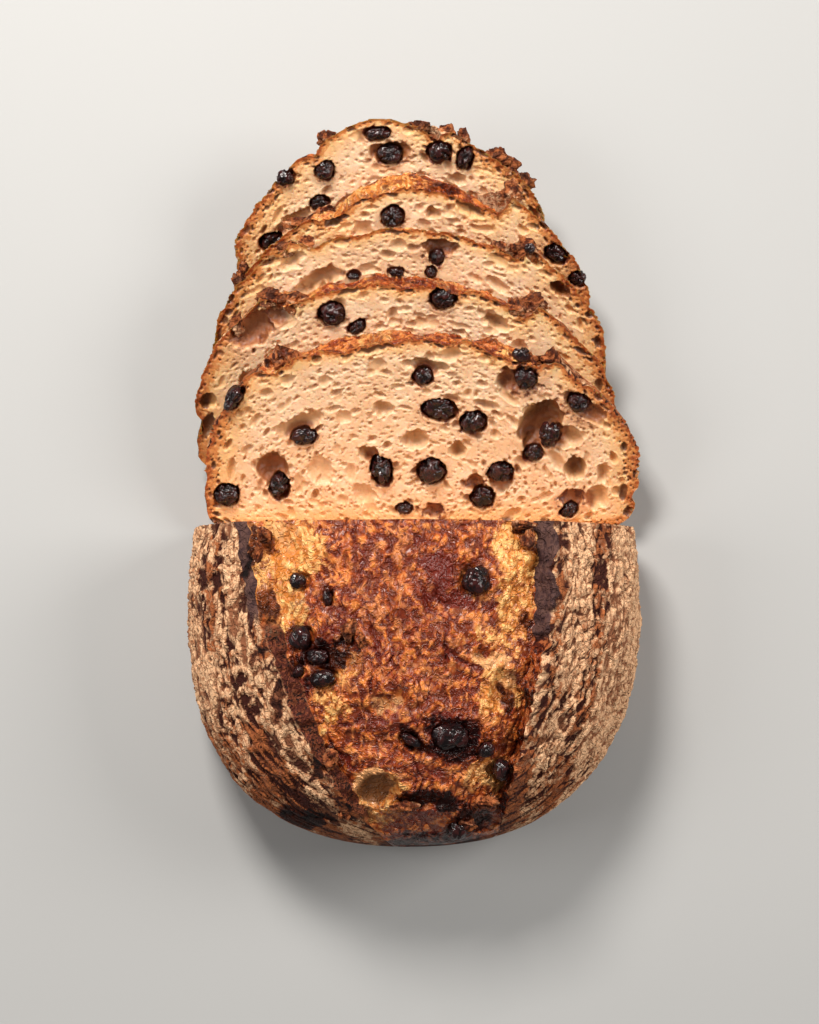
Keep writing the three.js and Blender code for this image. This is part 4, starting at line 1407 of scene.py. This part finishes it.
# Dark fruit juice, also used for the fold lines, which are partly painted shade
DARK_JUICE_AND_FOLD_SHADE = (0.14, 0.014, 0.006)
PIT_RIM = (0.80, 0.38, 0.15)
# Painted shade at the floor of a torn pit
PIT_FLOOR_SHADE = (0.24, 0.095, 0.032)
# Of the flanks and the ears' inner faces
RIND = (0.42, 0.13, 0.042)
DARK_RIND = (0.19, 0.045, 0.015)
FLOUR = (0.92, 0.57, 0.33)
THIN_FLOUR = (0.68, 0.37, 0.195)
RIND_LINE = (0.22, 0.06, 0.020)
CRACK = (0.045, 0.009, 0.005)
FLOURED_CRACK = (0.28, 0.105, 0.048)
EAR_BROWN = (0.075, 0.016, 0.009)
EAR_BLACK = (0.016, 0.006, 0.005)
EAR_FLECK = (0.34, 0.09, 0.033)
STRIP = (0.12, 0.058, 0.046)
DARK_STRIP = (0.050, 0.023, 0.023)
# What burning leaves of each colour
SINGED = (0.34, 0.20, 0.16)
CHARRED = (0.18, 0.12, 0.12)
# Of the crumb
CREAM = (0.87, 0.62, 0.41)
WARM_CREAM = (0.78, 0.49, 0.285)
CREAM_FLECK = (0.78, 0.45, 0.23)
# Painted shade in the crumb's bubbles, darker in deeper ones and darkest in the deepest holes
BUBBLE_SHADE = (0.64, 0.34, 0.15)
DEEP_BUBBLE_SHADE = (0.56, 0.30, 0.135)
DEEP_HOLE_SHADE = (0.20, 0.085, 0.030)
# Painted shade in the fine pits
PORE_SHADE = (0.55, 0.27, 0.11)
NEAR_CRUST = (0.86, 0.46, 0.15)
CRUST_LINE = (0.62, 0.24, 0.07)
CRUST_EDGE = (0.34, 0.085, 0.02)
# Pores by the crust: the baked crust's brown and painted shade in them
RIM_PORE_BROWN_AND_SHADE = (0.10, 0.030, 0.010)
WET_HOLE = (0.20, 0.060, 0.018)
FRUIT_STAIN = (0.50, 0.17, 0.055)
JUICE_RING = (0.13, 0.028, 0.012)
# And of the raisins
RAISIN_BLACK = (0.008, 0.005, 0.006)
RAISIN_RED = (0.042, 0.009, 0.008)
# Painted shade in the raisin's folds
RAISIN_CREASE_SHADE = (0.006, 0.003, 0.003)


def grey(value):
    """A plain value as a colour, for a mix that feeds it on as a value."""
    return (value, value, value)


def finish(name):
    made = bpy.data.materials.new(name)
    made.use_nodes = True
    tree = made.node_tree
    return made, tree, tree.nodes["Principled BSDF"]


def bump(tree, pores, strength):
    """Fine pores as a bump."""
    inputs = {"Height": pores["Height"], "Strength": strength, "Distance": 0.0003}
    return node(tree, "ShaderNodeBump", inputs)


def baked_crust():
    """Floured bark on the flanks, glossy blistered dough on top with painted highlights on its ridges and
    painted shade in its creases, burnt along the torn edges.
    """
    made, tree, shader = finish("baked crust")
    place = field(tree, "place", True)
    plate, flour, golden = field(tree, "plate"), field(tree, "flour"), field(tree, "golden")
    broad, tan, small, fleck = (use(tree, MOTTLING, place, size)["Mask"] for size in (9.0, 4.2, 2.6, 0.9))
    worm = use(tree, BLISTERING, place, 1.5)
    drawn_out = node(tree, "ShaderNodeVectorMath", {0: place, 1: (1.0, 0.45, 1.0)}, operation="MULTIPLY")
    lines = use(tree, BLISTERING, drawn_out.outputs[0], 1.1)
    pores = use(tree, FINE_PORES, place, 0.7)

    top = mix(tree, broad, BAKED, DARK_BAKED)
    top = mix(tree, part_of(tree, step(tree, tan, 0.5, 0.8), 0.5), top, TAN)
    # Painted highlight: the raised ridges of the bloom are drawn lighter and amber
    ridge_highlight = step(tree, broken(tree, plate, small, 0.4), 0.4, 0.95)
    top = mix(tree, part_of(tree, ridge_highlight, 0.72), top, RIDGE_HIGHLIGHT)
    # Painted shade: the low creases and seams between the blisters are drawn dark
    crease_shade = step(tree, broken(tree, plate, small, 0.3), 0.55, 0.05)
    top = mix(tree, part_of(tree, crease_shade, 0.9), top, CREASE_SHADE)
    # Painted shade in the fine creases of the ridged bump
    top = mix(tree, part_of(tree, worm["Creases"], 0.4), top, FINE_CREASE_SHADE)
    # Golden patches: painted shade in the low parts, a painted highlight on the ridges, painted shade in the
    # fine creases
    gold = mix(tree, step(tree, broken(tree, plate, small, 0.5), 0.1, 0.8), SHADED_GOLD, GOLD_HIGHLIGHT)
    gold = mix(tree, part_of(tree, worm["Creases"], 0.35), gold, GOLD_CREASE_SHADE)
    top = mix(tree, step(tree, broken(tree, golden, small, 0.6), 0.2, 0.9), top, gold)
    # Juice stains and the fold lines, the latter partly painted shade in the fold grooves
    juice_and_fold_shade = broken(tree, field(tree, "juice_and_fold_shade"), small, 0.5)
    top = mix(tree, step(tree, juice_and_fold_shade, 0.3, 0.95), top, DARK_JUICE_AND_FOLD_SHADE)
    # Torn pits: pale dough at the rim, painted shade deepening towards the floor
    hollow = mix(tree, step(tree, field(tree, "dug"), 1.0, 4.0), PIT_RIM, PIT_FLOOR_SHADE)
    pale = broken(tree, field(tree, "pale"), small, 0.3)
    top = mix(tree, step(tree, pale, 0.3, 0.7), top, hollow)

    rind = mix(tree, small, RIND, DARK_RIND)
    floured = mix(tree, fleck, FLOUR, THIN_FLOUR)
    flank = mix(tree, step(tree, broken(tree, flour, small, 0.6), 0.15, 0.75), rind, floured)
    flank = mix(tree, part_of(tree, lines["Creases"], 0.6), flank, RIND_LINE)
    crack = mix(tree, step(tree, flour, 0.55, 1.0), CRACK, FLOURED_CRACK)
    flank = mix(tree, step(tree, broken(tree, plate, small, 0.25), 0.42, 0.1), flank, crack)
    inner = mix(tree, step(tree, small, 0.3, 0.7), EAR_BROWN, EAR_BLACK)
    browned = step(tree, broken(tree, fleck, small, 0.6), 0.45, 0.8)
    inner = mix(tree, part_of(tree, browned, 0.4), inner, EAR_FLECK)
    flank = mix(tree, field(tree, "wall"), flank, inner)
    strip = mix(tree, small, DARK_STRIP, STRIP)
    flank = mix(tree, step(tree, field(tree, "strip"), 0.35, 0.65), flank, strip)

    on_bloom = field(tree, "on_bloom")
    colour = mix(tree, step(tree, on_bloom, 0.3, 0.7), flank, top)
    char = broken(tree, field(tree, "burnt"), small, 0.6)
    colour = mix(tree, step(tree, char, 0.2, 0.6), colour, SINGED, "MULTIPLY")
    colour = mix(tree, step(tree, char, 0.45, 0.95), colour, CHARRED, "MULTIPLY")
    tree.links.new(colour, shader.inputs["Base Color"])
    glossy = step(tree, on_bloom, 0.7, 1.0)
    tree.links.new(mix(tree, glossy, grey(0.72), grey(0.28)), shader.inputs["Roughness"])
    shine = mix(tree, glossy, grey(0.15), grey(0.45))
    shine = mix(tree, step(tree, char, 0.3, 0.9), shine, grey(0.2))
    tree.links.new(shine, shader.inputs["Specular IOR Level"])
    ridges = node(tree, "ShaderNodeBump", {"Height": worm["Height"], "Strength": 0.8, "Distance": 0.0006})
    grain = bump(tree, pores, 0.4)
    tree.links.new(ridges.outputs["Normal"], grain.inputs["Normal"])
    tree.links.new(grain.outputs["Normal"], shader.inputs["Normal"])
    return made


def open_crumb():
    """Cream crumb with moist bubbles darkened by painted shade, the deeper the darker, a brown line under the
    crust and fruit stains.
    """
    made, tree, shader = finish("open crumb")
    place = field(tree, "place", True)
    depth, rim, stain = field(tree, "depth"), field(tree, "rim"), field(tree, "stain")
    broad, small = (use(tree, MOTTLING, place, size)["Mask"] for size in (12.0, 2.2))
    pores = use(tree, FINE_PORES, place, 0.75)
    colour = mix(tree, broad, CREAM, WARM_CREAM)
    colour = mix(tree, part_of(tree, small, 0.3), colour, CREAM_FLECK)
    # Painted shade in bubbles and holes, the deeper the darker
    colour = mix(tree, part_of(tree, step(tree, depth, 0.12, 0.6), 0.5), colour, BUBBLE_SHADE)
    colour = mix(tree, step(tree, depth, 0.8, 3.2), colour, DEEP_BUBBLE_SHADE)
    colour = mix(tree, step(tree, depth, 2.8, 6.5), colour, DEEP_HOLE_SHADE)
    # Painted shade in the fine pits of the bump
    colour = mix(tree, part_of(tree, pores["Pits"], 0.3), colour, PORE_SHADE)
    ragged = broken(tree, rim, small, 0.5)
    colour = mix(tree, part_of(tree, step(tree, ragged, 3.2, 0.9), 0.6), colour, NEAR_CRUST)
    colour = mix(tree, step(tree, ragged, 1.1, 0.75), colour, CRUST_LINE)
    colour = mix(tree, step(tree, ragged, 0.5, 0.1), colour, CRUST_EDGE)
    # Pores close to the crust drawn dark where they are deep: partly baked brown, partly painted shade
    hollow = part_of(tree, step(tree, depth, 0.15, 0.7), step(tree, rim, 1.3, 0.9))
    colour = mix(tree, part_of(tree, hollow, 0.85), colour, RIM_PORE_BROWN_AND_SHADE)
    wet = part_of(tree, step(tree, stain, 0.2, 0.8), step(tree, depth, 0.1, 1.6))
    colour = mix(tree, wet, colour, WET_HOLE)
    colour = mix(tree, part_of(tree, step(tree, stain, 0.35, 1.0), 0.42), colour, FRUIT_STAIN)
    juicy = step(tree, broken(tree, stain, small, 0.5), 0.95, 1.35)
    colour = mix(tree, part_of(tree, juicy, step(tree, depth, 4.5, 2.5)), colour, JUICE_RING)
    tree.links.new(colour, shader.inputs["Base Color"])
    shader.inputs["Roughness"].default_value = 0.42
    shader.inputs["Subsurface Weight"].default_value = 0.3
    shader.inputs["Subsurface Radius"].default_value = (1.0, 0.45, 0.2)
    shader.inputs["Subsurface Scale"].default_value = 0.004
    tree.links.new(bump(tree, pores, 0.55).outputs["Normal"], shader.inputs["Normal"])
    return made


def raisin_skin():
    """Nearly black, wrinkled and a little sticky."""
    made, tree, shader = finish("raisin skin")
    place = field(tree, "place", True)
    small = use(tree, MOTTLING, place, 2.5)["Mask"]
    pores = use(tree, FINE_PORES, place, 0.6)
    colour = mix(tree, small, RAISIN_BLACK, RAISIN_RED)
    # Painted shade in the raisin's folds
    colour = mix(tree, step(tree, field(tree, "crease_shade"), 0.6, 0.1), colour, RAISIN_CREASE_SHADE)
    tree.links.new(colour, shader.inputs["Base Color"])
    shader.inputs["Roughness"].default_value = 0.16
    shader.inputs["Specular IOR Level"].default_value = 0.4
    tree.links.new(bump(tree, pores, 0.2).outputs["Normal"], shader.inputs["Normal"])
    return made


CRUST = baked_crust()
CRUMB = open_crumb()
RAISIN = raisin_skin()


# The loaf


def even_rows(s, count):
    """Places along the loaf, evenly spaced over its crown. The last, at the tip, is left out."""
    crown = GIRTH + CROWN * plan_share(s)
    length = np.concatenate([[0], np.cumsum(np.hypot(np.diff(s), np.diff(crown)))])
    return np.interp(np.linspace(0, length[-1], count + 1), length, s)[:-1]


def half_bread():
    """The whole half, from its cut to its tip."""
    towards_tip = WIDEST - TIP_REACH * np.sin(np.linspace(0, np.pi / 2, 400)[1:])
    s_rows = even_rows(np.concatenate([np.linspace(0, WIDEST, 60), towards_tip]), HALF_ROWS)
    tip = (0, WIDEST - TIP_REACH, GIRTH)
    ovals = (*CRUST_PITS, *crust_pockets())
    name, owner, face = "half_loaf_bread", "half", {"seed": 100}
    return bread(name, owner, s_rows, HALF, face, HALF_FACE_FINE, WHOLE_FACE, lay_half, ovals, tip)


def cut_bread(name, i):
    """A slice, or after the last of them the end piece."""
    front = i * PITCH
    if i < SLICES:
        x, turn, tip = SLICE_X[i], SLICE_TURN[i], None
        s_rows = np.linspace(front, front + SLICE, SLICE_ROWS + 1)
    else:
        x, turn, tip = END_X, END_TURN, (0, WIDEST + END_REACH, GIRTH)
        first = math.asin((front - WIDEST) / END_REACH)
        s_rows = even_rows(WIDEST + END_REACH * np.sin(np.linspace(first, np.pi / 2, 300)), END_ROWS)
    lay = Lean(i, x, turn)
    owner = CUT_OWNERS[i]
    face = {
        "seed": 110 + 10 * i,
        "holes": FACE_HOLES[i],
        "stains": FACE_STAINS[i],
        "pockets": face_pockets(owner, lay, front),
    }
    return bread(name, owner, s_rows, FINE, face, FACE_FINE[i], FACE_SHOWN[i], lay, tip=tip)


def bake():
    """Every piece in the place of its node, on the loaf's one body."""
    cut_nodes = (*(f"slice_{i + 1}" for i in range(SLICES)), "end_piece")
    pieces = {"half_loaf": half_bread()}
    for i, cad_node in enumerate(cut_nodes):
        pieces[cad_node] = cut_bread(f"{cad_node}_bread", i)
    for cad_node, piece in pieces.items():
        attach(piece, "root")
        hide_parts(cad_node)
    raisin_nodes = [cad_node for owner in ("half", *CUT_OWNERS) for cad_node in raisins_of(owner)]
    for i, cad_node in enumerate(raisin_nodes):
        fruit = raisin(cad_node, 300 + 5 * i)
        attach(fruit, "root")
        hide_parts(cad_node)


bake()


# The floor, the light and the camera

CAMERA_HEIGHT = 900  # millimetres above the table
FIELD = 358.04  # how much of the table the picture holds from top to bottom
SENSOR = 36  # millimetres, along the picture's longer side
AIM = (0, 0, 0.03)  # of the lights, in metres


def floor():
    bpy.ops.mesh.primitive_plane_add(size=6, location=(0, 0, 0))
    plane = bpy.context.object
    plane.name = "floor"
    made, _, shader = finish("pale floor")
    shader.inputs["Base Color"].default_value = (0.44, 0.44, 0.435, 1)
    shader.inputs["Roughness"].default_value = 0.8
    plane.data.materials.append(made)
    plane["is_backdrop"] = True


def area_light(name, place, size, power, colour):
    """A square light that faces the loaf, in metres and watts."""
    light = bpy.data.lights.new(name, "AREA")
    light.size = size
    light.energy = power
    light.color = colour
    lamp = bpy.data.objects.new(name, light)
    bpy.context.scene.collection.objects.link(lamp)
    lamp.location = place
    lamp.rotation_euler = (Vector(AIM) - Vector(place)).to_track_quat("-Z", "Y").to_euler()


def studio():
    area_light("key light", (-0.2, 0.52, 0.66), 0.22, 8.6, (1, 0.96, 0.91))
    area_light("right light", (0.85, 0.25, 0.7), 0.5, 8, (1, 0.97, 0.93))
    area_light("left light", (-0.9, 0.0, 0.8), 0.5, 4.5, (1, 0.98, 0.95))
    world = bpy.data.worlds.new("studio")
    world.use_nodes = True
    background = world.node_tree.nodes["Background"]
    background.inputs["Color"].default_value = (1, 0.98, 0.95, 1)
    background.inputs["Strength"].default_value = 0.15
    bpy.context.scene.world = world
    bpy.context.scene.view_settings.view_transform = "Standard"


def camera():
    """Straight above, where the photograph was taken from."""
    data = bpy.data.cameras.new("camera")
    data.lens = SENSOR * CAMERA_HEIGHT / FIELD
    made = bpy.data.objects.new("camera", data)
    bpy.context.scene.collection.objects.link(made)
    made.location = (-MIDDLE[0] * 0.001, -MIDDLE[1] * 0.001, CAMERA_HEIGHT * 0.001)
    bpy.context.scene.camera = made


floor()
studio()
camera()
boxes = {"cad": cad_box, "visual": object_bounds()}
{key: [list(corner) for corner in box] for key, box in boxes.items()}
